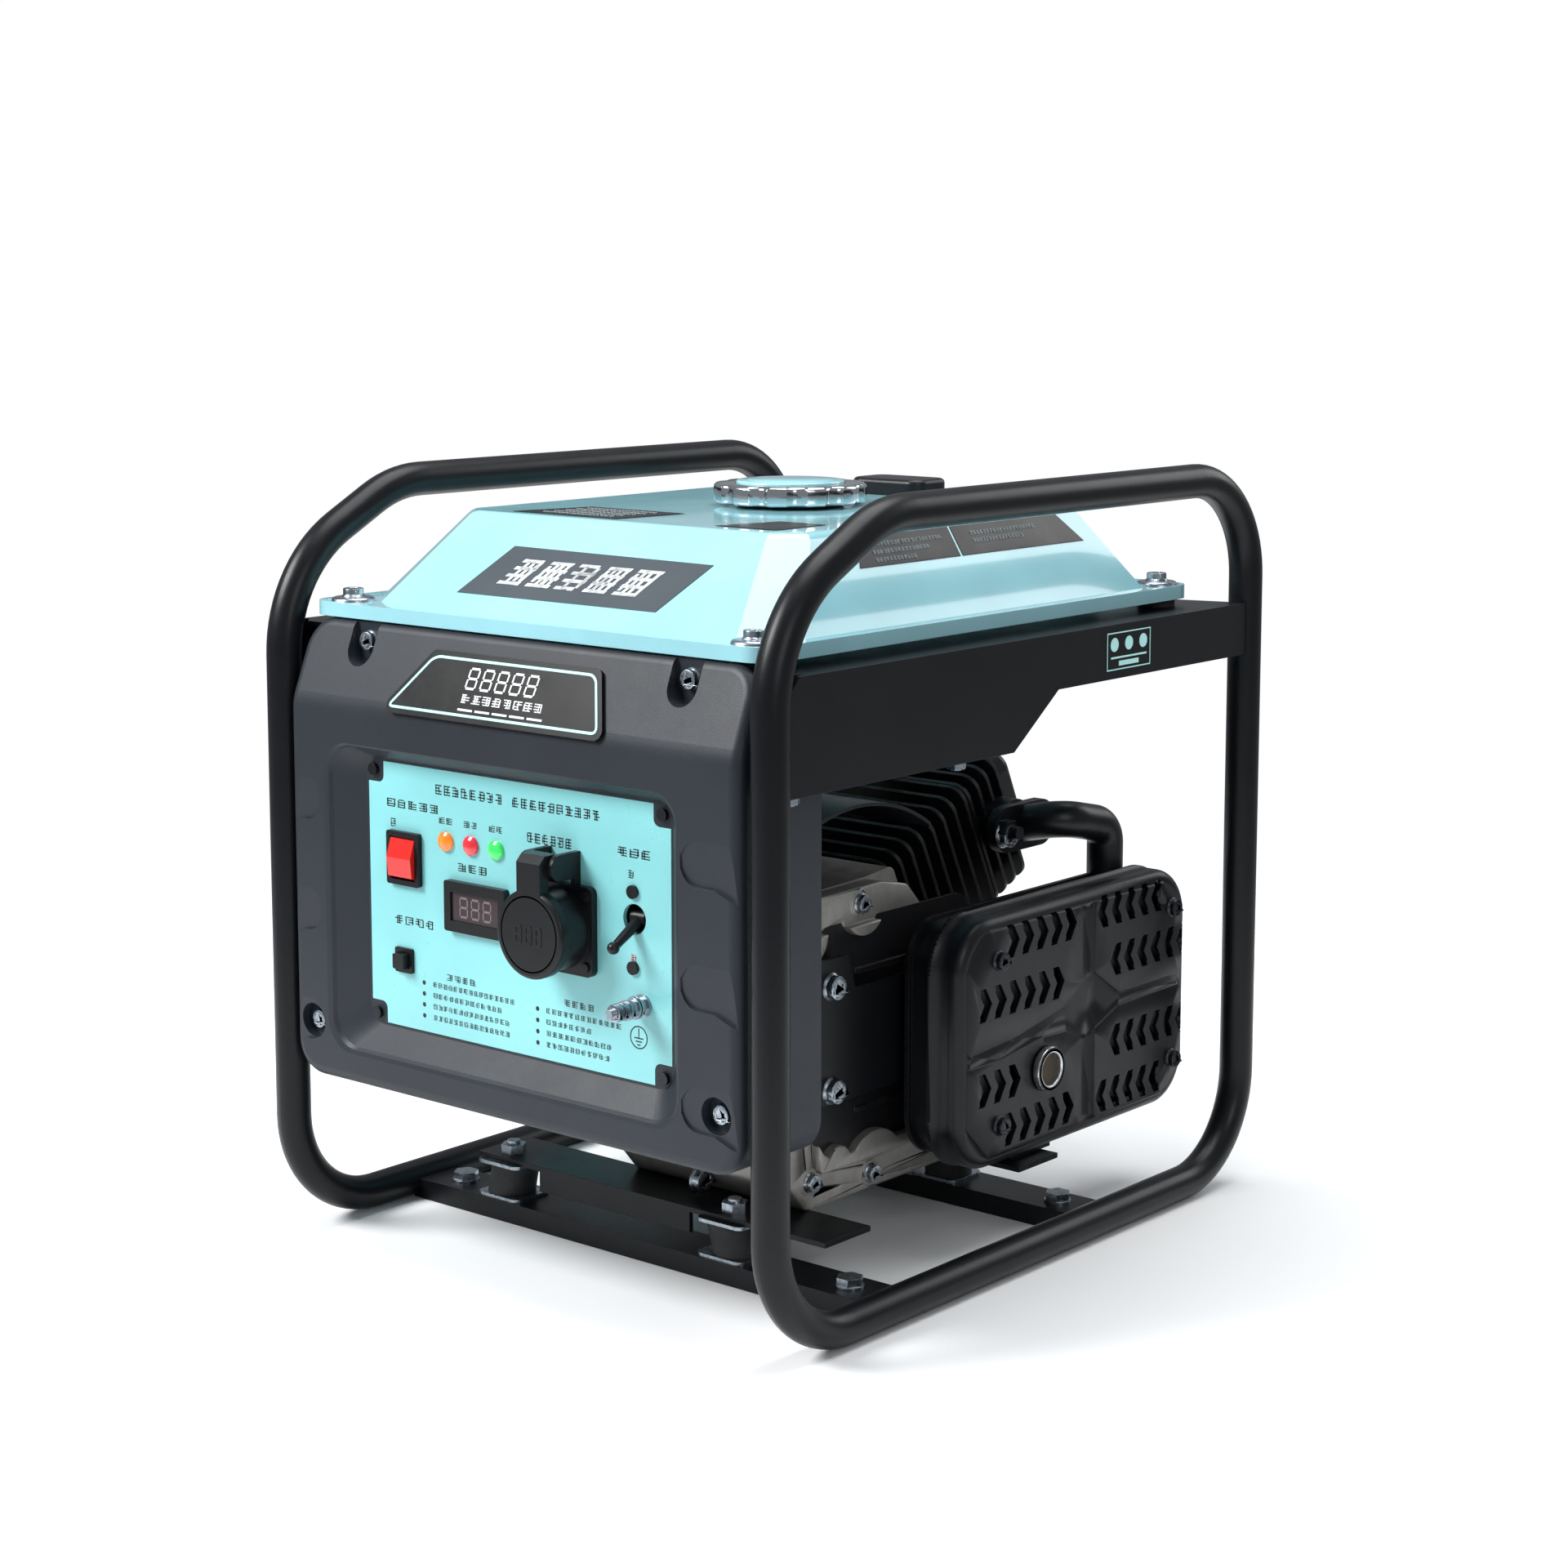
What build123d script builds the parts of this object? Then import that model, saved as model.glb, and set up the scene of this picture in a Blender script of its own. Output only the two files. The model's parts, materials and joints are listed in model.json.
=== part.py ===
from build123d import *
import os
from math import atan2, cos, degrees, radians, sin, sqrt

# Portable open-frame inverter generator, millimetres, +Z up.
# The control box faces -Y and the exhaust side faces +X.
# All pieces are drawn about the middle of the tube frame. origin_shift then moves them along Y,
# so that the origin is the middle of the bottom of the whole object's box.

# Tube frame
frame_width = 382.0
frame_depth = 462.0
frame_height = 442.5
tube_diameter = 20.0
tube_wall = 1.5
base_bend = 60.0
slope_bend = 80.0
slope_run = 87.0
slope_drop = 46.5
drain_hole = 5.0
weld_gap = 0.05

# Cross beams under the engine
beam_width = 32.0
beam_height = 12.0
beam_wall = 2.5
beam_bolt_inset = 33.0

# Tank rails
rail_drop = 85.5
rail_wall = 2.5
rail_outset = 6.0
rail_shelf = 50.0
rail_depth_front = 61.0
rail_depth_rear = 31.0
rail_step_start = -23.5
rail_step_run = 41.5
rail_lip = 14.0
rail_notch = 12.0

# Fasteners
bolt_hole_clearance = 0.2
small_bolt = 6.0
large_bolt = 8.0
nut_width_ratio = 1.65
nut_height_ratio = 0.7
bolt_flange = 1.2

# Engine mounts
mount_radius = 14.0
mount_plate = 2.0
mount_rubber = 18.0
mount_lean = 12.0
mount_left = -107.0
mount_right = 66.0
mount_front = -81.0
mount_rear = 114.0
engine_rail_wall = 3.0
engine_rail_width = 36.0

# Engine
crank_y = -35.0
crank_height = 109.0
case_left = -30.0
case_right = 85.0
case_front = -105.0
case_rear = 75.0
case_top = 212.0
cover_flange = 12.0
cover_bulge = 5.0
shaft_radius = 12.5
running_clearance = 0.05
web_radius = 40.0
crank_room = 4.0
throw = 22.0
filler_neck = 14.0
bore_radius = 26.0
cylinder_lean = 25.0
cylinder_x = 30.0
deck_distance = 62.0
barrel_length = 88.0
barrel_radius = 34.0
fin_size = 94.0
fin_thickness = 2.5
fin_count = 8
head_height = 40.0
head_size = 86.0
valve_cover_height = 20.0

# Alternator, fan and starter on the left of the engine
rotor_radius = 66.0
rotor_wall = 6.0
rotor_length = 46.0
rotor_gap = 3.0
stator_gap = 3.0
fan_radius = 70.0
fan_width = 18.0
fan_blades = 14
blower_radius = 88.0
blower_wall = 2.5
blower_length = 98.0
starter_radius = 70.0
starter_depth = 26.0
starter_wall = 2.5
pulley_radius = 45.0
pulley_width = 8.0
grip_length = 78.0
grip_radius = 12.0
rope_radius = 2.5

# Intake
carb_length = 42.0
choke_arm = 24.0
filter_depth = 60.0

# Exhaust
muffler_left = 108.0
muffler_right = 148.0
muffler_front = -22.0
muffler_rear = 197.0
muffler_low = 57.0
muffler_high = 189.0
muffler_corner = 24.0
guard_margin = 6.5
guard_depth = 22.0
guard_wall = 1.5
pad_rise = 1.0
chevron_height = 17.0
chevron_width = 4.6
chevron_pitch = 14.2
outlet_radius = 12.85
outlet_wall = 1.5
outlet_proud = 5.0
outlet_y = 53.0
outlet_z = 99.0
guard_cross_y = 95.0
pipe_radius = 11.0
pipe_wall = 1.6

# Control box
fascia_side_gap = 3.0
fascia_low = 100.0
fascia_lift = 4.5
fascia_wall = 3.0
fascia_depth = 65.0
fascia_lean = 18.0
fascia_lean_height = 46.0
fascia_corner = 20.0
pocket_radius = 10.0
panel_width = 226.8
panel_height = 148.5
panel_middle = 211.3
panel_wall = 2.5
panel_sink = 10.6
panel_notch = 12.0
recess_left = 22.0
recess_right = 11.0
recess_top = 7.0
recess_bottom = 16.0
recess_round = 4.0
fascia_edge = 7.0
scallop_rise = 20.0
scallop_depth = 2.2
scallop_pitch = 63.5
scallop_low = 129.5
recess_rim = 3.0
fit = 0.3

# Controls on the panel: positions are x and z of each middle
rocker_at = (-84.2, 233.0)
rocker_size = (25.5, 30.0)
bezel_wall = 3.0
bezel_proud = 3.0
switch_depth = 24.0
rocker_radius = 11.6
lamp_row = (-51.8, -32.4, -13.1)
lamp_height = 246.5
lamp_radius = 5.35
meter_at = (-27.2, 212.0)
meter_size = (46.5, 28.0)
meter_proud = 4.0
meter_depth = 18.0
meter_frame = 6.0
reset_at = (-86.0, 175.2)
reset_size = 14.0
reset_travel = 2.0
socket_at = (37.0, 212.0)
collar_radius = 22.0
socket_size = 2 * collar_radius + 4.0
socket_plate = 4.0
collar_length = 16.0
plug_recess = collar_radius - 3.5
socket_depth = 34.0
flap_thickness = 6.5
flap_radius = collar_radius + 2.0
flap_hinge_rise = collar_radius + 13.0
hinge_radius = 7.0
hinge_width = 17.0
hinge_ear = 3.5
breaker_at = (87.6, 223.0)
breaker_hole = 8.0
breaker_screw_pitch = 40.2
lever_length = 30.0
lever_radius = 3.3
lever_angle = 30.0
ground_at = (93.0, 178.0)
ground_length = 26.0
badge_height = 38.0
badge_top_width = 123.0
badge_bottom_width = 169.0

# Fuel tank
tank_seat = 6.0
tank_front_gap = tube_diameter - 1.0
tank_rear_gap = 49.0
tank_side_gap = 18.0
tank_flange = 3.2
tank_bead = 7.0
tank_wall = 1.5
tank_height = 49.0
tank_foot_front = 22.0
tank_foot_side = 12.0
tank_top_side = 43.0
tank_top_front = 73.0
tank_top_rear = 52.0
tank_foot_corner = 25.0
pan_depth = 46.0
pan_inset = 36.0
pan_taper = 9.0
tank_bolt_washer = 11.5
cap_at = (4.0, 6.0)
neck_radius = 29.0
neck_wall = 2.0
neck_depth = 6.0
cap_radius = 45.0
cap_height = 11.0
cap_button = 31.0
cap_button_height = 2.0
cap_lobes = 12
plug_radius = neck_radius - 2.5
plug_length = 16.0
gauge_at = (0.0, 114.0)
gauge_size = (54.0, 33.0)
gauge_height = 10.0

# Values that follow from the ones above
tube_radius = tube_diameter / 2
loop_x = frame_width / 2 - tube_radius
front_y = tube_radius - frame_depth / 2
rear_y = frame_depth / 2 - tube_radius
low_z = tube_radius
high_z = frame_height - tube_radius
rail_top = frame_height - rail_drop
rail_outer = loop_x + rail_outset
rail_inner = rail_outer - rail_shelf
engine_floor = beam_height + 2 * mount_plate + mount_rubber + engine_rail_wall
crank_z = engine_floor + crank_height
front_face = front_y - tube_radius + 1.0
panel_face = front_face + panel_sink
fascia_top = rail_top + fascia_lift
fascia_half = loop_x - tube_radius - fascia_side_gap
tank_z = rail_top + tank_seat
tank_half = rail_outer - tank_side_gap
tank_y0 = tank_front_gap - frame_depth / 2
tank_y1 = frame_depth / 2 - tank_rear_gap
tank_top_z = tank_z + tank_bead + tank_height
flap_back = panel_face - socket_plate - collar_length - fit
flap_front = flap_back - flap_thickness
origin_shift = (-flap_front - frame_depth / 2) / 2
gauge_z = tank_top_z
blower_left = case_left - 8.0 - blower_length
starter_left = blower_left - starter_depth
cylinder_frame = Location(
    Plane(
        (cylinder_x, crank_y, crank_z),
        x_dir=(1, 0, 0),
        z_dir=(0, cos(radians(cylinder_lean)), sin(radians(cylinder_lean))),
    )
)


# ---- Shape helpers ----
def block(x, y, z):
    """Box between pairs of coordinates."""
    size = [pair[1] - pair[0] for pair in (x, y, z)]
    middle = [(pair[1] + pair[0]) / 2 for pair in (x, y, z)]
    return Pos(*middle) * Box(*size)


def rod_x(x, y, z, radius):
    """Round bar along X between the pair x."""
    return Pos((x[0] + x[1]) / 2, y, z) * Rot(0, 90, 0) * Cylinder(radius, x[1] - x[0])


def rod_y(x, y, z, radius):
    """Round bar along Y between the pair y."""
    return Pos(x, (y[0] + y[1]) / 2, z) * Rot(90, 0, 0) * Cylinder(radius, y[1] - y[0])


def rod_z(x, y, z, radius):
    """Round bar along Z between the pair z."""
    return Pos(x, y, (z[0] + z[1]) / 2) * Cylinder(radius, z[1] - z[0])


def front_plate(outline, y):
    """Outline drawn in X and Z, with thickness between the pair y."""
    return extrude(Plane((0, y[1], 0), x_dir=(1, 0, 0), z_dir=(0, -1, 0)) * outline, y[1] - y[0])


def side_plate(outline, x):
    """Outline drawn in Y and Z, with thickness between the pair x."""
    return extrude(Plane((x[0], 0, 0), x_dir=(0, 1, 0), z_dir=(1, 0, 0)) * outline, x[1] - x[0])


def level_plate(outline, z):
    """Outline drawn in X and Y, with thickness between the pair z."""
    return extrude(Plane.XY.offset(z[0]) * outline, z[1] - z[0])


def outline_of(*corners, radius=0.0):
    """Filled polygon through the corners, with all of them rounded if a radius is given."""
    face = make_face(Polyline(*corners, close=True))
    return fillet(face.vertices(), radius) if radius else face


def swept(path, radius, wall=0.0):
    """Round bar, or tube if a wall is given, along a path."""
    start = Plane(origin=path @ 0, z_dir=path % 0)
    bar = sweep(start * Circle(radius), path=path)
    return bar - sweep(start * Circle(radius - wall), path=path) if wall else bar


def hexagon(size):
    """Hexagon for a nut or a bolt head on a thread of this size."""
    return RegularPolygon(size * nut_width_ratio / 2, 6, major_radius=False)


def mirrored(make, *values):
    """The same piece made for the right and the left side."""
    return [make(side, *values) for side in (1, -1)]


# ---- Tube frame ----
def loop_path(side):
    """Centre line of one side loop: the front top corner is cut off by a slope."""
    x = side * loop_x
    corners = (
        (x, front_y, low_z),
        (x, front_y, high_z - slope_drop),
        (x, front_y + slope_run, high_z),
        (x, rear_y, high_z),
        (x, rear_y, low_z),
    )
    bends = (base_bend, slope_bend, slope_bend, base_bend, base_bend)
    return FilletPolyline(*corners, radius=bends, close=True)


def loop_bar(side, grown=0.0):
    """Solid bar along the loop, used to cope the plates that are welded to the tube."""
    return swept(loop_path(side), tube_radius + grown)


def frame_loop(side):
    """Closed tube loop with a drain hole under the middle."""
    hole = rod_z(side * loop_x, 0, (-1, tube_wall * 2), drain_hole / 2)
    return swept(loop_path(side), tube_radius, tube_wall) - hole


def beam_at(y):
    """Folded channel, open below, between the two loops."""
    reach = loop_x - tube_radius / 2
    half = beam_width / 2
    outer = block((-reach, reach), (y - half, y + half), (0, beam_height))
    room = block(
        (-reach, reach),
        (y - half + beam_wall, y + half - beam_wall),
        (0, beam_height - beam_wall),
    )
    beam = outer - room
    for side in (1, -1):
        beam -= loop_bar(side, weld_gap)
    holes = [
        rod_z(x, y, (0, beam_height + 1), large_bolt / 2 + bolt_hole_clearance)
        for x in beam_bolt_places() + (mount_left, mount_right)
    ]
    return beam - holes


def beam_bolt_places():
    """X of the two bolts at the ends of each beam."""
    return (beam_bolt_inset - loop_x, loop_x - beam_bolt_inset)


def beam_rows():
    """Y of the front and the rear beam."""
    return (crank_y + mount_front, crank_y + mount_rear)


def cross_beams():
    return [beam_at(y) for y in beam_rows()]


def tank_rail(side):
    """Bent plate between the front and rear tubes: deep in front, shallow behind."""
    low_front = rail_top - rail_depth_front
    low_rear = rail_top - rail_depth_rear
    step_end = rail_step_start + rail_step_run
    end = rear_y
    web = outline_of(
        (-end, low_front),
        (rail_step_start, low_front),
        (step_end, low_rear),
        (end, low_rear),
        (end, rail_top),
        (tube_radius - end + rail_notch / 2, rail_top),
        (tube_radius - end - rail_notch / 2, rail_top - rail_notch),
        (-end, rail_top - rail_notch),
    )
    outer = side * rail_outer
    inner = side * (rail_outer - rail_wall)
    plate = side_plate(web, sorted((inner, outer)))
    shelf_front = tube_radius - end + 3.0
    shelf_rear = end - tube_radius - rail_notch
    shelf = outline_of(
        (side * rail_inner, shelf_front),
        (outer - side * rail_notch, shelf_front),
        (outer, shelf_front + rail_notch),
        (outer, end - tube_radius - 1.0),
        (outer - side * rail_notch, end - tube_radius - 1.0),
        (side * rail_inner, shelf_rear),
    )
    plate += level_plate(shelf, (rail_top - rail_wall, rail_top))
    lip = sorted((outer, outer - side * rail_lip))
    plate += block(lip, (-end, rail_step_start), (low_front, low_front + rail_wall))
    plate -= loop_bar(side, weld_gap)
    holes = [rod_z(x, y, (low_front, rail_top + 1), large_bolt / 2 + bolt_hole_clearance)
             for x, y in tank_bolt_places(side)]
    if side > 0:
        holes += [rod_z(x, y, (low_front - 1, low_front + rail_wall + 1), small_bolt / 2 + bolt_hole_clearance)
                  for x, y in lip_bolt_places()]
    return plate - holes


def bolt_down(x, y, z, size, grip):
    """Flanged bolt with its head on top of z and its nut under the gripped thickness."""
    head = size * nut_height_ratio
    at = Pos(x, y, 0)
    bolt = at * level_plate(hexagon(size), (z + bolt_flange, z + head))
    bolt += rod_z(x, y, (z, z + bolt_flange), size)
    bolt += rod_z(x, y, (z - grip - head - 1.0, z), size / 2)
    bolt += at * level_plate(hexagon(size), (z - grip - head, z - grip))
    return bolt


def lip_bolt_places():
    """X and Y of the two small bolts in the lip under the right rail."""
    return [(rail_outer - 9.0, y) for y in (front_y + 18.0, rail_step_start - 40.5)]


def frame_bolts():
    beam_bolts = [
        bolt_down(x, y, beam_height, large_bolt, beam_wall)
        for y in beam_rows()
        for x in beam_bolt_places()
    ]
    lip_top = rail_top - rail_depth_front + rail_wall
    lip_bolts = [bolt_down(x, y, lip_top, small_bolt, rail_wall) for x, y in lip_bolt_places()]
    return beam_bolts + lip_bolts


# ---- Engine mounts ----
def rubber_mount(x, y):
    """Leaning rubber block between two steel plates; it leans towards the middle."""
    low = beam_height + mount_plate
    high = low + mount_rubber
    lean = mount_lean if x < (mount_left + mount_right) / 2 else -mount_lean
    slab = block((x - 40, x + 40), (y - 40, y + 40), (low, high))
    core = Pos(x, y, (low + high) / 2) * Rot(0, lean, 0) * Cylinder(mount_radius, 3 * mount_rubber)
    return slab & core


def mount_places():
    return [(x, y) for y in beam_rows() for x in (mount_left, mount_right)]


def rubber_mounts():
    return [rubber_mount(x, y) for x, y in mount_places()]


def mount_plates():
    """Steel plates above and below each rubber block, with their studs and nuts."""
    low = beam_height
    high = beam_height + 2 * mount_plate + mount_rubber
    head = large_bolt * nut_height_ratio
    pieces = []
    for x, y in mount_places():
        shape = Pos(x, y, 0) * RectangleRounded(2 * mount_radius + 6, 2 * mount_radius + 2, 5)
        stud = large_bolt / 2
        rail_face = high + engine_rail_wall
        lower = level_plate(shape, (low, low + mount_plate))
        lower += rod_z(x, y, (1.0, low), stud)
        lower += Pos(x, y, 0) * level_plate(hexagon(large_bolt), (low - beam_wall - head, low - beam_wall))
        upper = level_plate(shape, (high - mount_plate, high))
        upper += rod_z(x, y, (high, rail_face + head + 2), stud)
        upper += Pos(x, y, 0) * level_plate(hexagon(large_bolt), (rail_face, rail_face + head))
        pieces += [lower, upper]
    return pieces


def engine_rails():
    """Two bent rails that carry the engine on its mounts."""
    low = engine_floor - engine_rail_wall
    left = mount_left - mount_radius - 4
    right = case_right + 55
    pieces = []
    for row, direction in zip(beam_rows(), (1, -1)):
        y = sorted((row - direction * (mount_radius - 3), row + direction * (engine_rail_width - 8)))
        rail = block((left, right), y, (low, engine_floor))
        edge = sorted((row - direction * (mount_radius - 3), row - direction * (mount_radius - 6)))
        rail += block((mount_left + 32, mount_right - 24), edge, (low - 12, low))
        for x in (mount_left, mount_right):
            rail -= rod_z(x, row, (low - 1, engine_floor + 1), large_bolt / 2 + bolt_hole_clearance)
        pieces.append(rail)
    return pieces


# ---- Engine block ----
def along_cylinder(distance, across):
    """Point in Y and Z at a distance along the cylinder line and across it."""
    lean = radians(cylinder_lean)
    y = crank_y + distance * cos(lean) - across * sin(lean)
    z = crank_z + distance * sin(lean) + across * cos(lean)
    return (y, z)


def case_outline():
    """Side view of the crankcase with the slanted deck for the cylinder."""
    half_deck = fin_size / 2 + 2
    return outline_of(
        (case_front, engine_floor + 15),
        (case_front + 13, engine_floor),
        (case_rear - 13, engine_floor),
        (case_rear, engine_floor + 13),
        (case_rear, engine_floor + 60),
        along_cylinder(deck_distance, -half_deck),
        along_cylinder(deck_distance, half_deck),
        (case_front + 80, case_top + 2),
        (case_front + 13, case_top),
        (case_front, case_top - 13),
        radius=6.0,
    )


def crankcase():
    """Casting, open on the right, with room for the crank, the oil and the piston's way."""
    body = side_plate(case_outline(), (case_left, case_right))
    room = web_radius + crank_room
    inside = case_left + 30
    body -= rod_x((inside, case_right + 1), crank_y, crank_z, room)
    body -= block((inside, case_right + 1), (case_front + 14, case_rear - 40),
                  (engine_floor + 12, crank_z))
    body -= rod_x((case_left - 1, case_right), crank_y, crank_z, shaft_radius + running_clearance)
    body -= cylinder_frame * Pos(0, 0, deck_distance / 2 + 10) * Cylinder(
        bore_radius, deck_distance + 20)
    ribs = [
        block((x - 2, x + 2), (case_front - 3, case_front + 2), (engine_floor + 30, case_top - 30))
        for x in (case_left + 12, case_left + 48, case_left + 84)
    ]
    boss = rod_x((case_left - 8, case_left), crank_y, crank_z, 34)
    boss -= rod_x((case_left - 9, case_left + 1), crank_y, crank_z, shaft_radius + running_clearance)
    body += ribs
    body += boss
    body += oil_filler()
    return body - dipstick_bore()


def cover_outline():
    """Side view of the crankcase cover, which stops short of the cylinder deck."""
    return outline_of(
        (case_front, engine_floor + 15),
        (case_front + 13, engine_floor),
        (case_rear - 13, engine_floor),
        (case_rear, engine_floor + 13),
        (case_rear, engine_floor + 66),
        (case_rear - 36, crank_z + 20),
        (case_front + 104, case_top - 4),
        (case_front + 80, case_top + 1),
        (case_front + 13, case_top),
        (case_front, case_top - 13),
        radius=6.0,
    )


def cover_bolt_places():
    """Y and Z of the bolts round the crankcase cover."""
    return (
        (case_front + 7, case_top - 18),
        (case_front + 7, crank_z - 20),
        (case_front + 16, engine_floor + 16),
        (crank_y, engine_floor + 9),
        (case_rear - 13, engine_floor + 13),
        (case_front + 60, case_top - 8),
    )


def crankcase_cover():
    """Flanged cover with a raised field, ribs and a boss for the crankshaft's end."""
    flange_face = case_right + cover_flange
    cover = side_plate(cover_outline(), (case_right, flange_face))
    field = offset(cover_outline(), -20)
    cover += side_plate(field, (flange_face, flange_face + cover_bulge))
    cover += rod_x((flange_face, flange_face + cover_bulge + 2), crank_y, crank_z, 30)
    cover -= rod_x((case_right - 1, flange_face - 2), crank_y, crank_z, shaft_radius + running_clearance)
    for y, z in cover_bolt_places():
        cover += rod_x((case_right, flange_face + 1), y, z, 7.5)
    return cover


def bolt_sideways(x, y, z, size):
    """Flanged bolt head on a face at x that looks along +X."""
    head = size * nut_height_ratio
    flange = rod_x((x, x + bolt_flange), y, z, size)
    return flange + side_plate(Pos(y, z) * hexagon(size), (x + bolt_flange, x + head))


def engine_bolts():
    face = case_right + cover_flange + 1
    pieces = [bolt_sideways(face, y, z, small_bolt) for y, z in cover_bolt_places()]
    drain = Pos(cylinder_x, 0, engine_floor + 10) * hexagon_front(large_bolt, case_front)
    bracket_face = case_right + cover_flange + cover_bulge + 5.5
    pieces += [bolt_sideways(bracket_face, y, z, large_bolt) for y, z in front_bracket_bolts()]
    return pieces + [drain]


def hexagon_front(size, y):
    """Bolt head on a face at y that looks along -Y."""
    head = size * nut_height_ratio
    plate = rod_y(0, (y - bolt_flange, y), 0, size)
    return plate + front_plate(hexagon(size), (y - bolt_flange - head, y - bolt_flange))


def dipstick_place():
    """Frame at the mouth of the oil filler on the front of the crankcase, Z outwards."""
    lean = radians(45)
    mouth = Plane((case_right - 15, case_front, engine_floor + 52), x_dir=(1, 0, 0),
                  z_dir=(0, -cos(lean), sin(lean)))
    return Location(mouth)


def dipstick_bore():
    return dipstick_place() * Pos(0, 0, -17) * Cylinder(8.2, 2 * filler_neck + 36)


def oil_filler():
    """Short neck cast on the crankcase that the dipstick screws into."""
    neck = dipstick_place() * Pos(0, 0, filler_neck / 2 - 5) * Cylinder(12, filler_neck + 10)
    outside = block((case_left, case_right + 50), (case_front - 60, case_front), (0, 400))
    return neck & outside


def oil_dipstick():
    """Knobbed cap and stick; the stick stands in the bore with clearance."""
    face = filler_neck + fit
    knob = Pos(0, 0, face + 5) * Cylinder(13, 10)
    for turn in range(8):
        knob -= Rot(0, 0, turn * 45) * Pos(14.5, 0, face + 5) * Cylinder(3, 12)
    stem = Pos(0, 0, (face - 14) / 2) * Cylinder(7.8, face + 14)
    blade = Pos(0, 0, -18) * Cylinder(2.5, 12)
    return dipstick_place() * (knob + stem + blade)


def fin_plate(size, distance, thickness):
    """One square cooling fin across the cylinder line."""
    return Pos(0, 0, distance) * extrude(RectangleRounded(size, size, 10), thickness)


def cylinder():
    """Barrel with cooling fins."""
    barrel = Pos(0, 0, deck_distance + barrel_length / 2) * Cylinder(barrel_radius, barrel_length)
    pitch = (barrel_length - fin_thickness - 6) / (fin_count - 1)
    for row in range(fin_count):
        barrel += fin_plate(fin_size, deck_distance + 3 + row * pitch, fin_thickness)
    barrel -= Pos(0, 0, deck_distance + barrel_length / 2) * Cylinder(bore_radius, barrel_length + 2)
    return cylinder_frame * barrel


def head_base():
    """Distance of the head's joint face along the cylinder line."""
    return deck_distance + barrel_length


def port_distance():
    return head_base() + head_height * 0.6


def cylinder_head():
    """Finned head with an exhaust port on the right and an intake port on the left."""
    base = head_base()
    reach = case_right - cylinder_x
    head = Pos(0, 0, base) * extrude(RectangleRounded(head_size - 16, head_size - 16, 8), head_height)
    for row in range(4):
        head += fin_plate(head_size, base + row * head_height / 4 + 3, fin_thickness)
    port = Pos(reach / 2, -4, port_distance()) * Rot(0, 90, 0) * Cylinder(15.5, reach)
    head += port
    head += Pos(-reach / 2, -4, port_distance()) * Rot(0, 90, 0) * Cylinder(15, reach)
    head -= Pos(reach / 2 + 20, -4, port_distance()) * Rot(0, 90, 0) * Cylinder(
        pipe_radius - pipe_wall, reach)
    head -= Pos(-reach / 2 - 20, -4, port_distance()) * Rot(0, 90, 0) * Cylinder(8, reach)
    seat = Pos(plug_place()[0], plug_place()[1], plug_place()[2])
    head -= seat * Rot(90, 0, 0) * Pos(0, 0, 10) * Cylinder(7 + fit, 40)
    return cylinder_frame * head


def exhaust_port():
    """Global point in the middle of the exhaust port's face."""
    y, z = along_cylinder(port_distance(), 4)
    return (case_right, y, z)


def valve_cover():
    """Rounded box on top of the head."""
    base = head_base() + head_height
    cover = Pos(0, 0, base) * extrude(RectangleRounded(head_size - 20, head_size - 20, 12),
                                      valve_cover_height)
    cover = fillet(cover.faces().sort_by(Axis.Z)[-1].edges(), 6)
    cover -= Pos(0, 0, base) * extrude(RectangleRounded(head_size - 28, head_size - 28, 8),
                                       valve_cover_height - 5)
    return cylinder_frame * cover


def plug_place():
    """Local point on the head's upper side where the spark plug stands."""
    return (-18.0, -(head_size / 2 - 8), head_base() + 12)


def spark_plug():
    """Insulator and boot of the spark plug on the upper side of the head."""
    x, y, z = plug_place()
    plug = Pos(x, y - 8, z) * Rot(90, 0, 0) * Cylinder(7, 30)
    boot = Pos(x, y - 33, z) * Rot(90, 0, 0) * Cylinder(9, 20)
    return cylinder_frame * (plug + boot)


# ---- Rotating pieces on the crank line: drawn with Z along the crank ----
def shaft_length():
    """Left and right ends of the crankshaft."""
    return (blower_left + 14.0, case_right + cover_flange - 4.0)


def crankshaft():
    """Two webs, a crank pin and the long left end that carries the rotor."""
    left, right = shaft_length()
    middle = cylinder_x
    main = rod_x((left, middle - 9), crank_y, crank_z, shaft_radius)
    main += rod_x((middle + 9, right), crank_y, crank_z, shaft_radius)
    for start in (middle - 21, middle + 9):
        web = rod_x((start, start + 12), crank_y, crank_z, web_radius)
        cheek = block((start - 1, start + 13), (crank_y + 14, crank_y + 60), (crank_z + 8, crank_z + 60))
        notch = block((start - 1, start + 13), (crank_y - 60, crank_y - 14), (crank_z + 8, crank_z + 60))
        main += web - cheek - notch
    main += rod_x((middle - 10, middle + 10), crank_y, crank_z + throw, 11)
    return main


def rotor_span():
    right = case_left - 8.0 - rotor_gap
    return (right - rotor_length, right)


def alternator_rotor():
    """Cup of the outer rotor with its hub on the shaft."""
    left, right = rotor_span()
    cup = rod_x((left, right), crank_y, crank_z, rotor_radius)
    cup -= rod_x((left + rotor_wall, right + 1), crank_y, crank_z, rotor_radius - rotor_wall)
    cup += rod_x((left, left + rotor_wall + 12), crank_y, crank_z, shaft_radius + 8)
    cup -= rod_x((left - 1, right + 1), crank_y, crank_z, shaft_radius + weld_gap)
    holes = [
        rod_x((left - 1, left + rotor_wall + 1), crank_y + 42 * cos(radians(turn)),
              crank_z + 42 * sin(radians(turn)), 7)
        for turn in range(0, 360, 60)
    ]
    return cup - holes


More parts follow.
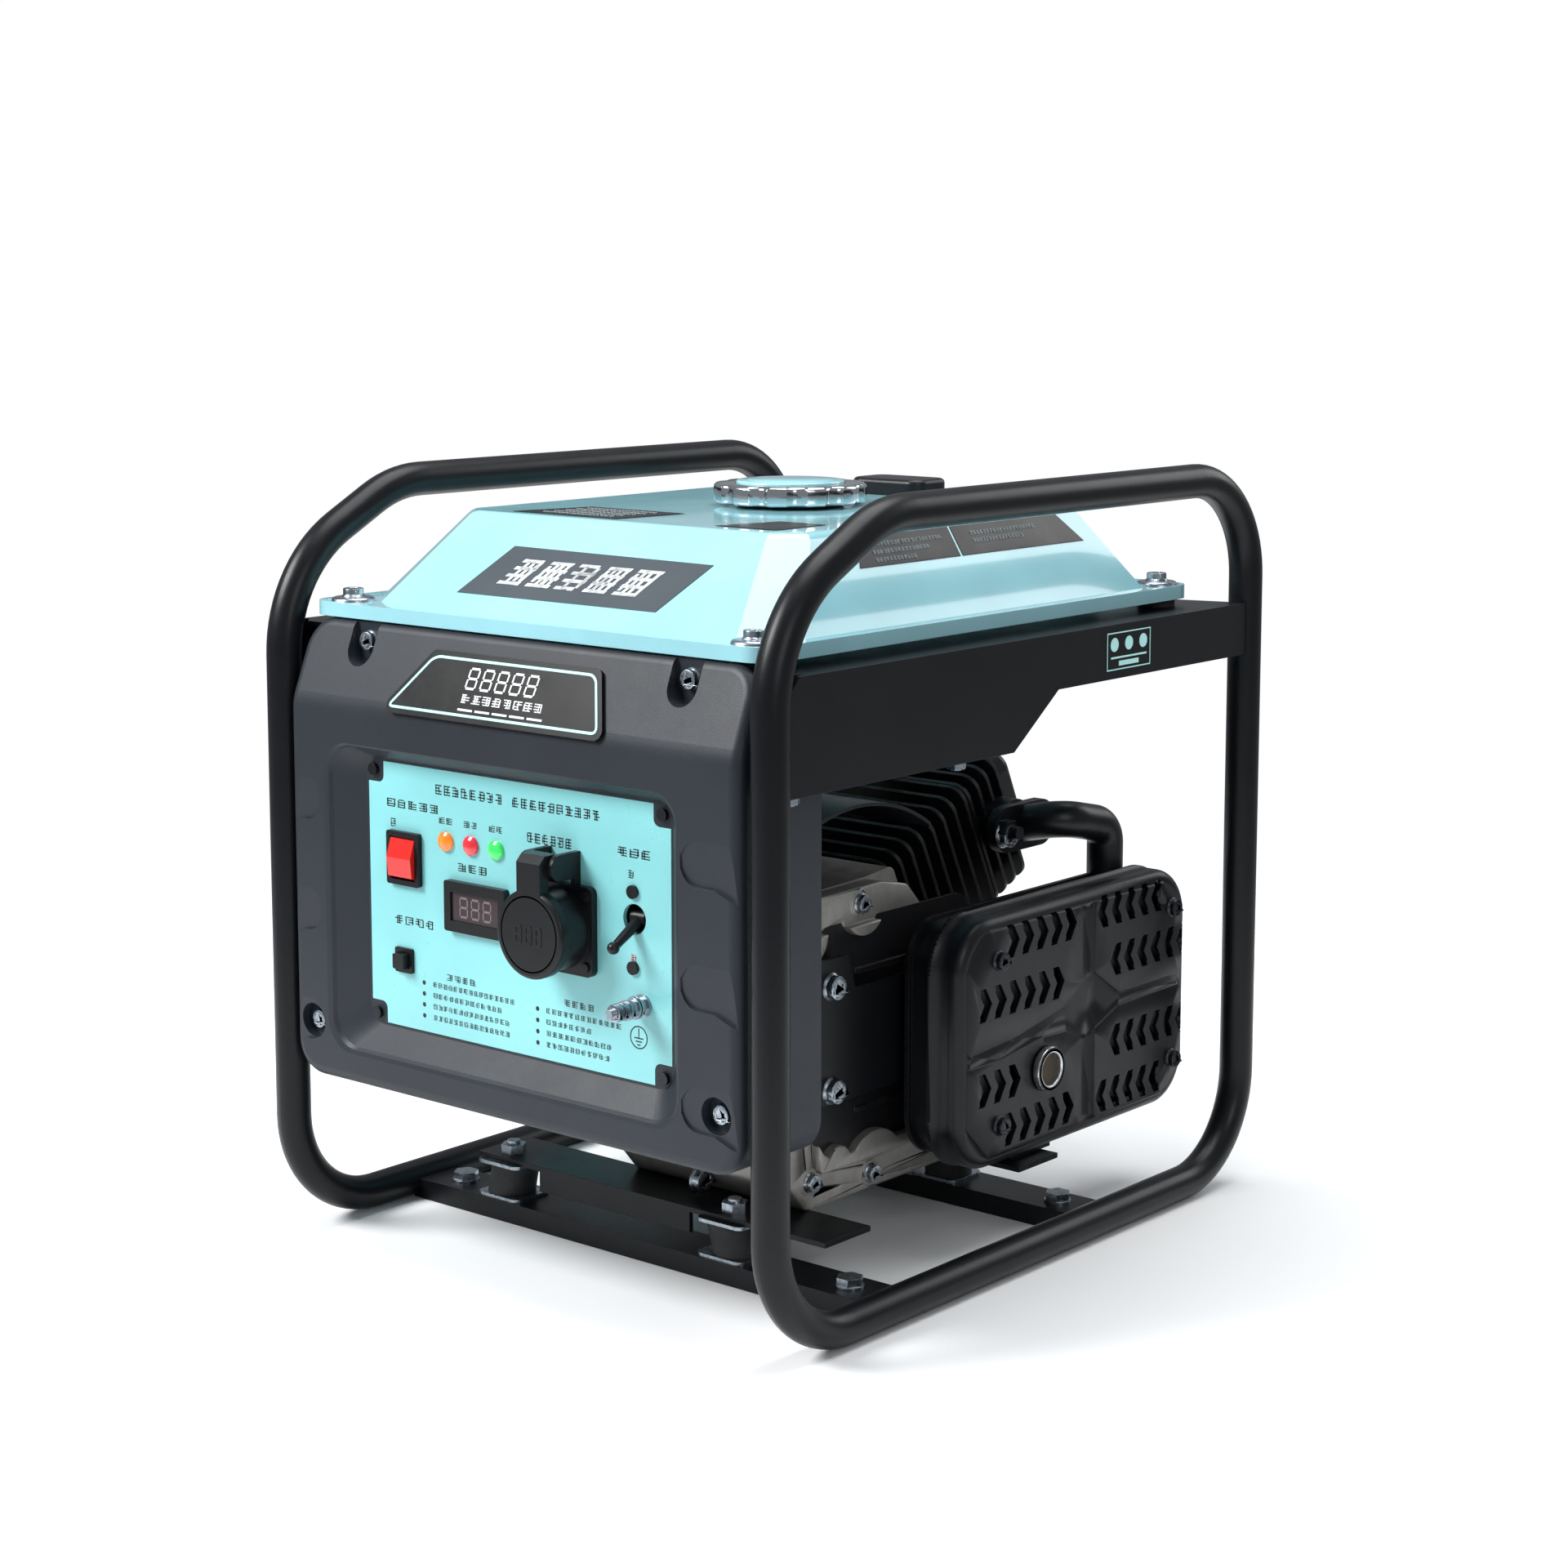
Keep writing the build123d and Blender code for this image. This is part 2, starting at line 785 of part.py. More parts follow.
def alternator_stator():
    """Ring of wound poles fixed to the crankcase, inside the rotor."""
    left, right = rotor_span()
    outer = rotor_radius - rotor_wall - stator_gap
    ring = rod_x((left + rotor_wall + 14, case_left - 8.0), crank_y, crank_z, 33)
    ring += rod_x((left + rotor_wall + 14, right - 6), crank_y, crank_z, outer - 20)
    for turn in range(0, 360, 20):
        pole = block((left + rotor_wall + 16, right - 8), (outer - 22, outer), (-4, 4))
        ring += Pos(0, crank_y, crank_z) * Rot(turn, 0, 0) * pole
    return ring - rod_x((left - 1, right + 20), crank_y, crank_z, shaft_radius + 6)


def fan_span():
    right = rotor_span()[0] - 1.0
    return (right - fan_width, right)


def cooling_fan():
    """Disc with curved blades between the rotor and the grille."""
    left, right = fan_span()
    wheel = rod_x((right - 2.5, right), crank_y, crank_z, fan_radius)
    wheel += rod_x((left, right), crank_y, crank_z, 24)
    for number in range(fan_blades):
        blade = block((left, right), (26, fan_radius - 1), (-1.2, 1.2))
        lean = Pos(0, 22, 0) * Rot(28, 0, 0) * Pos(0, -22, 0)
        wheel += Pos(0, crank_y, crank_z) * Rot(number * 360 / fan_blades, 0, 0) * lean * blade
    wheel &= rod_x((left, right), crank_y, crank_z, fan_radius)
    return wheel - rod_x((left - 1, right + 1), crank_y, crank_z, shaft_radius + weld_gap)


def blower_housing():
    """Round housing over fan and rotor, with an air duct towards the cylinder."""
    right = case_left - 1.0
    left = blower_left
    duct_y = (0, blower_radius + 12)
    duct_z = (-20, blower_radius - 6)
    tilt = Pos(0, crank_y, crank_z) * Rot(cylinder_lean, 0, 0)
    outer = rod_x((left, right), crank_y, crank_z, blower_radius)
    outer += tilt * block((left + 24, right), duct_y, duct_z)
    inner = rod_x((left + blower_wall, right + 1), crank_y, crank_z, blower_radius - blower_wall)
    wall = blower_wall
    inner += tilt * block((left + 24 + wall, right + 1), (0, duct_y[1] + 1),
                          (duct_z[0] + wall, duct_z[1] - wall))
    shell = outer - inner
    shell -= rod_x((left - 1, left + blower_wall + 1), crank_y, crank_z, starter_radius - 22)
    return shell


def recoil_housing():
    """Starter cup bolted over the blower's mouth, with slots and an eye for the rope."""
    left = starter_left
    right = blower_left
    cup = rod_x((left, right), crank_y, crank_z, starter_radius)
    cup -= rod_x((left + starter_wall, right + 1), crank_y, crank_z, starter_radius - starter_wall)
    cup += rod_x((left, right - 10), crank_y, crank_z, 8)
    for turn in range(0, 360, 45):
        slot = block((left - 1, left + starter_wall + 1), (22, 52), (-4, 4))
        cup -= Pos(0, crank_y, crank_z) * Rot(turn + 22.5, 0, 0) * slot
    eye = rod_y(pulley_middle(), (crank_y + starter_radius - 12, crank_y + starter_radius + 8),
                crank_z + pulley_radius, 8)
    keep = rod_x((left - 1, right + 1), crank_y, crank_z, starter_radius - starter_wall)
    cup += eye - keep
    cup -= rod_y(pulley_middle(), (crank_y + 20, crank_y + starter_radius + 20),
                 crank_z + pulley_radius, rope_radius + 1.5)
    return cup


def pulley_middle():
    """X of the rope groove in the starter pulley."""
    return starter_left + starter_wall + 3.0 + pulley_width / 2


def starter_pulley():
    """Grooved drum that the rope is wound on."""
    left = pulley_middle() - pulley_width / 2
    right = left + pulley_width
    drum = rod_x((left, right), crank_y, crank_z, pulley_radius)
    drum -= rod_x((left + 2, right - 2), crank_y, crank_z, pulley_radius + 1) - rod_x(
        (left + 2, right - 2), crank_y, crank_z, pulley_radius - 5)
    drum -= rod_x((left - 1, right + 1), crank_y, crank_z, 8 + running_clearance)
    holes = [
        rod_x((left - 1, right + 1), crank_y + 24 * cos(radians(turn)),
              crank_z + 24 * sin(radians(turn)), 6)
        for turn in range(0, 360, 60)
    ]
    return drum - holes


def starter_handle():
    """T-shaped grip outside the eye, with the short rope stub that enters it."""
    x = pulley_middle()
    z = crank_z + pulley_radius
    seat = crank_y + starter_radius + 8 + fit
    grip = rod_z(x, seat + 9 + grip_radius, (z - grip_length / 2, z + grip_length / 2), grip_radius)
    grip = fillet(grip.edges().filter_by(GeomType.CIRCLE), 5)
    grip += rod_y(x, (seat, seat + 12), z, 7)
    return grip + rod_y(x, (seat - 14, seat + 2), z, rope_radius)


# ---- Intake ----
def intake_line():
    """Y and Z of the intake port's middle."""
    return along_cylinder(port_distance(), 4)


def carburettor():
    """Body, float bowl and the two flanges between head and air filter."""
    y, z = intake_line()
    right = 2 * cylinder_x - case_right
    left = right - carb_length
    body = rod_x((left, right), y, z, 13)
    body += block((left, left + 5), (y - 24, y + 24), (z - 15, z + 15))
    body += block((right - 5, right), (y - 24, y + 24), (z - 15, z + 15))
    body += rod_z(right - 22, y, (z - 38, z - 8), 15)
    body -= rod_x((left - 1, right + 1), y, z, 8)
    return body


def choke_pivot():
    y, z = intake_line()
    return (2 * cylinder_x - case_right - 14, y, z + 13)


def choke_lever():
    """Small lever on top of the carburettor."""
    x, y, z = choke_pivot()
    low = z + fit
    lever = rod_z(x, y, (low, low + 6), 5)
    lever += block((x - 3, x + 3), (y, y + choke_arm), (low + 2, low + 4.5))
    return lever + rod_z(x, y + choke_arm, (low + 2, low + 12), 4.0)


def filter_span():
    """X range, Y range and Z range of the air filter box."""
    y, z = intake_line()
    right = 2 * cylinder_x - case_right - carb_length
    return ((right - filter_depth, right), (y - 52, y + 48), (z - 30, z + 46))


def air_filter_box():
    """Rear half of the air filter, with its hole to the carburettor."""
    x, y, z = filter_span()
    iy, iz = intake_line()
    left = x[0] + filter_depth / 2
    box = block((left, x[1]), y, z)
    box = fillet(box.edges().filter_by(Axis.X), 8)
    box -= block((left - 1, x[1] - 2.5), (y[0] + 2.5, y[1] - 2.5), (z[0] + 2.5, z[1] - 2.5))
    return box - rod_x((left, x[1] + 1), iy, iz, 8)


def air_filter_cover():
    """Snap-on outer half of the air filter with moulded ribs."""
    x, y, z = filter_span()
    right = x[0] + filter_depth / 2 - fit
    cover = block((x[0], right), y, z)
    cover = fillet(cover.edges().filter_by(Axis.X), 8)
    cover = fillet(cover.faces().sort_by(Axis.X)[0].edges(), 5)
    cover -= block((x[0] + 2.5, right + 1), (y[0] + 3, y[1] - 3), (z[0] + 3, z[1] - 3))
    for row in range(4):
        low = z[0] + 16 + row * 13
        cover -= block((x[0] - 1, x[0] + 1), (y[0] + 14, y[1] - 14), (low, low + 4))
    return cover


# ---- Exhaust ----
def exhaust_pipe():
    """Bent tube from the port's flange down into the top of the muffler."""
    x, y, z = exhaust_port()
    end = (muffler_left + pipe_radius + 1, muffler_rear - 32, muffler_high)
    points = (
        (x, y, z),
        (end[0] - 2, y, z + 8),
        (end[0], end[1], z - 2),
        (end[0], end[1], end[2] + fit),
    )
    path = FilletPolyline(*points, radius=(15, 14))
    pipe = swept(path, pipe_radius, pipe_wall)
    flange = side_plate(Pos(y, z) * RectangleRounded(60, 28, 13), (x + fit, x + 7))
    flange -= swept(path, pipe_radius - pipe_wall)
    nuts = []
    for offset_y in (-22, 22):
        nuts.append(side_plate(Pos(y + offset_y, z) * hexagon(large_bolt), (x + 7, x + 13)))
        nuts.append(rod_x((x + 13, x + 19), y + offset_y, z, large_bolt / 2))
    pipe &= block((x + fit, 400), (-400, 400), (0, 500))
    return pipe + flange + nuts


def muffler_outline(grown):
    """Rounded rectangle in Y and Z, grown by a margin all round."""
    width = muffler_rear - muffler_front + 2 * grown
    height = muffler_high - muffler_low + 2 * grown
    middle = ((muffler_rear + muffler_front) / 2, (muffler_high + muffler_low) / 2)
    return Pos(*middle) * RectangleRounded(width, height, muffler_corner + grown)


def muffler_body():
    """Flat rounded can with a seam bead."""
    can = side_plate(muffler_outline(0), (muffler_left, muffler_right))
    can = fillet(can.faces().sort_by(Axis.X)[0].edges(), 6)
    can = fillet(can.faces().sort_by(Axis.X)[-1].edges(), 6)
    middle = (muffler_left + muffler_right) / 2
    can += side_plate(muffler_outline(3), (middle - 14, middle - 11))
    end_y = muffler_rear - 32
    can -= rod_z(muffler_left + pipe_radius + 1, end_y, (muffler_high, muffler_high + 10), pipe_radius + 1)
    can -= rod_z(muffler_left + pipe_radius + 1, end_y, (muffler_high - 6, muffler_high + 10),
                 pipe_radius - pipe_wall)
    face = guard_face()
    seat = face + pad_rise + fit
    can += rod_x((muffler_right - 3, seat), outlet_y, outlet_z, outlet_radius - 0.8)
    can += rod_x((seat, seat + outlet_proud), outlet_y, outlet_z, outlet_radius)
    can -= rod_x((muffler_right - 12, seat + outlet_proud + 1), outlet_y, outlet_z,
                 outlet_radius - outlet_wall - 0.8)
    return can


def guard_face():
    """Outer face of the muffler guard."""
    return muffler_right + 7.0


def guard_top():
    """Outer face of the guard's raised fields, where its screws seat."""
    return guard_face() + pad_rise


def guard_screw_places():
    """Y and Z of the four guard screws."""
    inset = 27.0
    left = muffler_front - guard_margin
    right = muffler_rear + guard_margin
    low = muffler_low - guard_margin
    high = muffler_high + guard_margin
    return (
        (left + inset + 9, high - inset + 2),
        (right - inset + 9, high - inset + 3),
        (left + inset + 11, low + inset - 3),
        (right - inset + 10, low + inset),
    )


def guard_pads():
    """Four raised fields of the guard's face, in Y and Z, with the sloping inner corners."""
    low = muffler_low - guard_margin + 7.0
    high = muffler_high + guard_margin - 7.0
    front = muffler_front - guard_margin + 7.0
    rear = muffler_rear + guard_margin - 7.0
    cross = guard_cross_y
    return (
        ((front, 119), (front, high - 20), (front + 20, high), (cross - 4, high), (cross - 4, 143),
         (cross - 20, 131), (front + 44, 122)),
        ((cross + 8, high), (rear - 20, high), (rear, high - 20), (rear, 129), (rear - 30, 129),
         (cross + 34, 129), (cross + 8, 146)),
        ((front, 113), (front + 30, 113), (cross - 44, 118), (cross - 20, 117), (cross - 4, 110),
         (cross - 4, low), (front + 20, low), (front, low + 20)),
        ((cross + 8, 112), (cross + 34, 122), (rear, 123), (rear, low + 20), (rear - 20, low),
         (cross + 8, low)),
    )


def chevron(y, z, turn):
    """Slot shaped like an arrowhead that points to +Y, or to -Y with turn -1."""
    arm = chevron_height * 0.62
    shape = None
    for up in (1, -1):
        bar = Rot(0, 0, -up * turn * 58) * Pos(0, 0) * SlotOverall(arm, chevron_width)
        bar = Pos(-turn * 1.2, up * arm * 0.36) * bar
        shape = bar if shape is None else shape + bar
    return Pos(y, z) * shape


def chevron_places():
    """Y, Z and direction of each slot in the guard."""
    rows = (
        (21.0, 179.5, 5, 1), (-5.0, 147.0, 6, 1), (-5.0, 98.0, 3, 1), (20.0, 70.5, 5, 1),
        (111.0, 181.0, 5, -1), (125.0, 150.0, 6, -1), (125.0, 101.0, 6, -1), (111.0, 69.5, 5, -1),
    )
    return [(y + number * chevron_pitch, z, turn) for y, z, count, turn in rows for number in range(count)]


def muffler_guard():
    """Pressed cover over the muffler with raised fields and rows of arrowhead slots."""
    face = guard_face()
    guard = side_plate(muffler_outline(guard_margin), (face - guard_depth, face))
    guard = fillet(guard.faces().sort_by(Axis.X)[-1].edges(), 7)
    room = side_plate(muffler_outline(guard_margin - guard_wall),
                      (face - guard_depth - 1, face - guard_wall))
    room = fillet(room.faces().sort_by(Axis.X)[-1].edges(), 6)
    guard -= room
    for corners in guard_pads():
        pad = side_plate(outline_of(*corners, radius=4.0), (face - 0.5, face + pad_rise))
        guard += chamfer(pad.faces().sort_by(Axis.X)[-1].edges(), pad_rise * 0.7)
    bead = muffler_outline(guard_margin + 0.8)
    guard += side_plate(bead, (face - guard_depth, face - guard_depth + 3)) - side_plate(
        muffler_outline(guard_margin - guard_wall), (face - guard_depth - 1, face - guard_depth + 4))
    slots = Sketch() + [chevron(*place) for place in chevron_places()]
    guard -= side_plate(slots, (face - 3, face + pad_rise + 1))
    guard -= rod_x((face - 3, face + pad_rise + 1), outlet_y, outlet_z, outlet_radius + fit)
    for y, z in guard_screw_places():
        guard -= rod_x((face - 3, face + pad_rise + 1), y, z, small_bolt / 2 + bolt_hole_clearance)
    return guard


def guard_screws():
    """Flanged screws with the posts that reach back to the muffler."""
    face = guard_face()
    pieces = []
    for y, z in guard_screw_places():
        screw = rod_x((muffler_right, face - guard_wall), y, z, small_bolt / 2 + 2)
        screw += rod_x((face - guard_wall, guard_top()), y, z, small_bolt / 2)
        pieces.append(screw + bolt_sideways(guard_top(), y, z, small_bolt))
    return pieces


def muffler_bracket():
    """Bent plate that ties the muffler to the rear engine rail."""
    row = beam_rows()[1]
    top = muffler_low + 30
    wide = (row - 20, row + 20)
    plate = block((muffler_left - 3.5, muffler_left - 0.5), wide, (engine_floor, top))
    return plate + block((muffler_left - 0.5, muffler_left + 20), wide, (engine_floor, engine_floor + 3))


def front_bracket_bolts():
    """Y and Z of the two bolts that hold the front bracket to the crankcase cover."""
    return [(case_front + 23.0, z) for z in (crank_z + 18.5, crank_z - 40.2)]


def front_bracket():
    """Plate on the crankcase cover that reaches behind the front edge of the muffler."""
    face = case_right + cover_flange
    left = face + cover_bulge + 2.5
    right = left + 3.0
    plate = side_plate(
        outline_of(
            (case_front + 8, crank_z - 48),
            (muffler_front + 12, crank_z - 48),
            (muffler_front + 12, crank_z + 14),
            (case_front + 44, crank_z + 14),
            (case_front + 38, crank_z + 34),
            (case_front + 8, crank_z + 34),
            radius=3.0,
        ),
        (left, right),
    )
    for y, z in front_bracket_bolts():
        plate += rod_x((face + cover_bulge + 0.1, left), y, z, 8.0)
    return plate


def heat_shield():
    """Curved sheet between the engine and the tank."""
    radius = 120.0
    middle_y = case_front + 60
    middle_z = case_top + 48 - radius
    sheet = rod_x((case_left + 20, case_right + 12), middle_y, middle_z, radius)
    sheet -= rod_x((case_left + 19, case_right + 13), middle_y, middle_z, radius - 2)
    window = block((case_left, case_right + 20), (middle_y - 72, middle_y + 66), (case_top + 14, 500))
    sheet &= window
    foot_x = case_left + 30
    foot = block((foot_x, foot_x + 14), (middle_y - 8, middle_y + 6), (case_top + 3, case_top + 47))
    return sheet + foot


# ---- Control box ----
def fascia_side():
    """Side view of the box: upright below, leaning back at the top."""
    back = front_face + fascia_depth
    knee = fascia_top - fascia_lean_height
    face = make_face(
        Polyline(
            (back, fascia_low),
            (front_face, fascia_low),
            (front_face, knee),
            (front_face + fascia_lean, fascia_top),
            (back, fascia_top),
            close=True,
        )
    )
    knees = face.vertices().sort_by(Axis.X)[:2]
    return fillet(knees.sort_by(Axis.Y)[-1], 30)


def fascia_front(grown):
    """Front view of the box with rounded corners, grown by a margin."""
    middle = (fascia_low + fascia_top) / 2
    width = 2 * (fascia_half + grown)
    height = fascia_top - fascia_low + 2 * grown
    return Pos(0, middle) * RectangleRounded(width, height, fascia_corner + grown)


def fascia_shell(grown):
    """Outer form of the box; a negative margin gives the room inside it."""
    back = front_face + fascia_depth
    body = front_plate(fascia_front(grown), (front_face - 1, back))
    return body & Pos(0, -grown, 0) * side_plate(fascia_side(), (-fascia_half - 1, fascia_half + 1))


def recess_section(y, grown):
    """Outline of the recess at a depth; grown 0 is the floor's and 1 the mouth's outline."""
    low_x = -panel_width / 2 - recess_rim / 2 - grown * recess_left
    high_x = panel_width / 2 + recess_rim / 2 + grown * recess_right
    low_z = panel_middle - panel_height / 2 - recess_rim / 2 - grown * recess_bottom
    high_z = panel_middle + panel_height / 2 + recess_rim / 2 + grown * recess_top
    plane = Plane((0, y, 0), x_dir=(1, 0, 0), z_dir=(0, -1, 0))
    middle = Pos((low_x + high_x) / 2, (low_z + high_z) / 2)
    corner = panel_notch + 6.0 * grown
    return plane * middle * RectangleRounded(high_x - low_x, high_z - low_z, corner)


def recess_cut():
    """Sloping recess from the box's front down to the panel, with a softly rounded mouth."""
    soft = front_face + recess_round * 0.6
    flare = loft([recess_section(panel_face, 0.0), recess_section(soft, 0.86)])
    flare += loft([recess_section(soft, 0.86), recess_section(front_face + 0.7, 0.95)])
    flare += loft([recess_section(front_face + 0.7, 0.95), recess_section(front_face, 1.1)])
    return flare + extrude(recess_section(front_face - 12, 1.1), -12)


def scallop(side, low):
    """Shallow hollow at the box's side edge: round above, straight and deepest below."""
    inner = 129.0 if side > 0 else 143.0
    edge = fascia_half + 1.0
    outline = make_face(
        Polyline(
            (side * inner, low),
            (side * edge, low - 15.0),
            (side * edge, low + 8.0),
            (side * (inner + 12), low + 8.0),
            (side * inner, low + 8.0),
            close=True,
        )
    )
    arc = Pos(side * (inner + 12), low + 3.5) * Circle(12)
    outline += arc
    outline += Pos(side * (inner + edge) / 2 + side * 6, low + 3.5) * Rectangle(edge - inner - 12, 24)
    tilt = degrees(atan2(scallop_depth, scallop_rise + 12))
    keep = block((-200, 200), (-20, 0), (-60, 60))
    wedge = Pos(0, front_face, low + 15.5) * Rot(tilt, 0, 0) * keep
    return front_plate(outline, (front_face - 3, front_face + 6)) & wedge


def notched_panel(shrink):
    """Panel outline with its four corners notched for the screws."""
    width = panel_width - 2 * shrink
    height = panel_height - 2 * shrink
    outline = RectangleRounded(width, height, 4)
    notch = RectangleRounded(2 * panel_notch, 2 * panel_notch, 4)
    for x in (-1, 1):
        for z in (-1, 1):
            outline -= Pos(x * width / 2, z * height / 2) * notch
    return Pos(0, panel_middle) * outline


def panel_screw_places():
    across = panel_width / 2 - panel_notch / 2 + 1
    up = panel_height / 2 - panel_notch / 2 + 1
    return [(x * across, panel_middle + z * up) for x in (-1, 1) for z in (-1, 1)]


def fascia_screw_places():
    """X and Z of the four screws that hold the box to the frame."""
    upper = [(x * (fascia_half - 48), fascia_top - 11) for x in (1, -1)]
    lower = [(x * (fascia_half - 16), fascia_low + 32) for x in (1, -1)]
    return upper, lower


def fascia():
    """Moulded box with a sloping recess, scalloped screw pockets and an open back."""
    outer = fascia_shell(0)
    outer = fillet(outer.faces().sort_by(Axis.Y)[0].edges(), fascia_edge)
    body = outer - Pos(0, fascia_wall, 0) * fascia_shell(-fascia_wall)
    floor_back = panel_face + panel_wall + fascia_wall
    low_x = -panel_width / 2 - recess_left - 4.0
    high_x = panel_width / 2 + recess_right + 4.0
    low_z = panel_middle - panel_height / 2 - recess_bottom - 4.0
    high_z = panel_middle + panel_height / 2 + recess_top + 4.0
    rim = Pos((low_x + high_x) / 2, (low_z + high_z) / 2) * RectangleRounded(
        high_x - low_x, high_z - low_z, 18)
    body += front_plate(rim, (front_face + 1, floor_back))
    body -= recess_cut()
    body -= front_plate(notched_panel(-fit), (panel_face - 1, panel_face + panel_wall))
    window = Pos(0, panel_middle) * RectangleRounded(panel_width - 28, panel_height - 28, 6)
    body -= front_plate(window, (panel_face, floor_back + 1))
    for row in range(3):
        for side in (1, -1):
            body -= scallop(side, scallop_low + row * scallop_pitch)
    upper, lower = fascia_screw_places()
    for x, z in lower:
        body += rod_y(x, (front_face + 3, front_face + 14), z, pocket_radius + 2.5)
        body -= rod_y(x, (front_face - 1, front_face + 8), z, pocket_radius)
        body -= rod_y(x, (front_face, front_face + 15), z, small_bolt / 2 + bolt_hole_clearance)
    for x, z in upper:
        low = z - 3.5
        wall = rod_y(x, (front_face + 12, front_face + 28), low, pocket_radius + 2.5)
        wall += block((x - pocket_radius - 2.5, x + pocket_radius + 2.5),
                      (front_face + 12, front_face + 28), (low, fascia_top + 1))
        body += wall & outer
        body -= rod_y(x, (front_face - 1, front_face + 20), low, pocket_radius)
        body -= block((x - pocket_radius, x + pocket_radius),
                      (front_face - 1, front_face + 20), (low, fascia_top + 2))
        body -= rod_y(x, (front_face, front_face + 30), z, small_bolt / 2 + bolt_hole_clearance)
    reach = fascia_half + 2
    body -= block((-reach, reach), (tube_radius + front_y + 1.5, front_face + fascia_depth + 1),
                  (rail_top - rail_wall - 3, fascia_top + 1))
    for x, z in panel_screw_places():
        body -= rod_y(x, (panel_face - 1, floor_back + 1), z, 1.5)
    return body


def control_panel():
    """Flat plate with a hole for each control."""
    y = (panel_face, panel_face + panel_wall)
    plate = front_plate(notched_panel(0), y)
    cut = (y[0] - 1, y[1] + 1)
    rocker_hole = Pos(*rocker_at) * Rectangle(rocker_size[0] - 2 * bezel_wall + 2 * fit + 2,
                                              rocker_size[1] - 2 * bezel_wall + 2 * fit + 2)
    plate -= front_plate(rocker_hole, cut)
    for x in lamp_row:
        plate -= rod_y(x, cut, lamp_height, lamp_radius - 1.3 + fit)
    meter_hole = Pos(*meter_at) * Rectangle(meter_size[0] - 4 + fit, meter_size[1] - 4 + fit)
    plate -= front_plate(meter_hole, cut)
    plate -= front_plate(Pos(*reset_at) * Rectangle(reset_size - 2 + fit, reset_size - 2 + fit), cut)
    plate -= rod_y(socket_at[0], cut, socket_at[1], collar_radius - 2 + fit)
    plate -= rod_y(breaker_at[0], cut, breaker_at[1], breaker_hole)
    plate -= rod_y(ground_at[0], cut, ground_at[1], small_bolt / 2 + bolt_hole_clearance)
    return plate


def fascia_screws():
    """Hex-flanged screws in the four pockets of the box."""
    upper, lower = fascia_screw_places()
    pieces = []
    for (x, z), seat in [(p, front_face + 8) for p in lower] + [(p, front_face + 20) for p in upper]:
        head = small_bolt * nut_height_ratio
        screw = rod_y(x, (seat - bolt_flange, seat), z, small_bolt)
        screw += front_plate(Pos(x, z) * hexagon(small_bolt), (seat - head, seat - bolt_flange))
        pieces.append(screw + rod_y(x, (seat, seat + 14), z, small_bolt / 2))
    return pieces


def panel_screws():
    """Small pan-head screws in the panel's notched corners."""
    pieces = []
    for x, z in panel_screw_places():
        head = rod_y(x, (panel_face + panel_wall - 2.2 - panel_wall, panel_face), z, 3.4)
        pieces.append(head + rod_y(x, (panel_face, panel_face + panel_wall + 2), z, 1.4))
    return pieces


def badge():
    """Thin plate that lies on the leaning top of the box, wider below."""
    knee = fascia_top - fascia_lean_height
    lean = atan2(fascia_lean, fascia_lean_height)
    middle = knee + fascia_lean_height * 0.38
    back = front_face + (middle - knee) * fascia_lean / fascia_lean_height
    face = Plane((0, back, middle), x_dir=(1, 0, 0), z_dir=(0, -cos(lean), sin(lean)))
    top = badge_top_width / 2
    low = badge_bottom_width / 2
    half = badge_height / 2
    outline = outline_of((-low - 7, -half), (low - 7, -half), (top + 3, half), (top - 121, half), radius=5)
    return extrude(face.offset(fit / 3) * outline, 2.0) - fascia_shell(0)


# ---- Controls ----
def switch_frame():
    """Bezel and body of the rocker switch."""
    x, z = rocker_at
    width, height = rocker_size
    bezel = front_plate(Pos(x, z) * RectangleRounded(width, height, 1.5), (panel_face - bezel_proud, panel_face))
    body_width = width - 2 * bezel_wall + 2
    body_height = height - 2 * bezel_wall + 2
    body = Pos(x, z) * Rectangle(body_width, body_height)
    bezel += front_plate(body, (panel_face, panel_face + switch_depth))
    room = Pos(x, z) * Rectangle(width - 2 * bezel_wall, height - 2 * bezel_wall)
    return bezel - front_plate(room, (panel_face - bezel_proud - 1, panel_face + switch_depth - 2))


def rocker_pivot():
    """Y of the rocker's axis."""
    return panel_face + 1.0


def switch_rocker():
    """Rocker with two facets; the lower facet is pressed in at rest."""
    x, z = rocker_at
    width = rocker_size[0] - 2 * bezel_wall - 2 * fit
    pivot = rocker_pivot()
    drum = rod_x((x - width / 2, x + width / 2), pivot, z, rocker_radius)
    tilt = 9.0
    keep = block((x - 20, x + 20), (-7.0, 30), (-20, 20))
    lower = Pos(0, pivot, z) * Rot(tilt - tilt / 3, 0, 0) * keep
    upper = Pos(0, pivot, z) * Rot(-tilt * 2, 0, 0) * keep
    back = block((x - 20, x + 20), (pivot - 20, pivot + 8), (z - 20, z + 20))
    return drum & lower & upper & back


def lamp(number):
    """Domed lens with its stem through the panel."""
    x = lamp_row[number]
    z = lamp_height
    lens = rod_y(x, (panel_face - 1.6, panel_face), z, lamp_radius)
    dome_radius = 8.0
    sink = sqrt(dome_radius**2 - lamp_radius**2)
    ball = Pos(x, panel_face - 1.6 + sink, z) * Sphere(dome_radius)
    lens += ball & rod_y(x, (panel_face - 12, panel_face - 1.6), z, lamp_radius)
    return lens + rod_y(x, (panel_face, panel_face + 12), z, lamp_radius - 1.3)


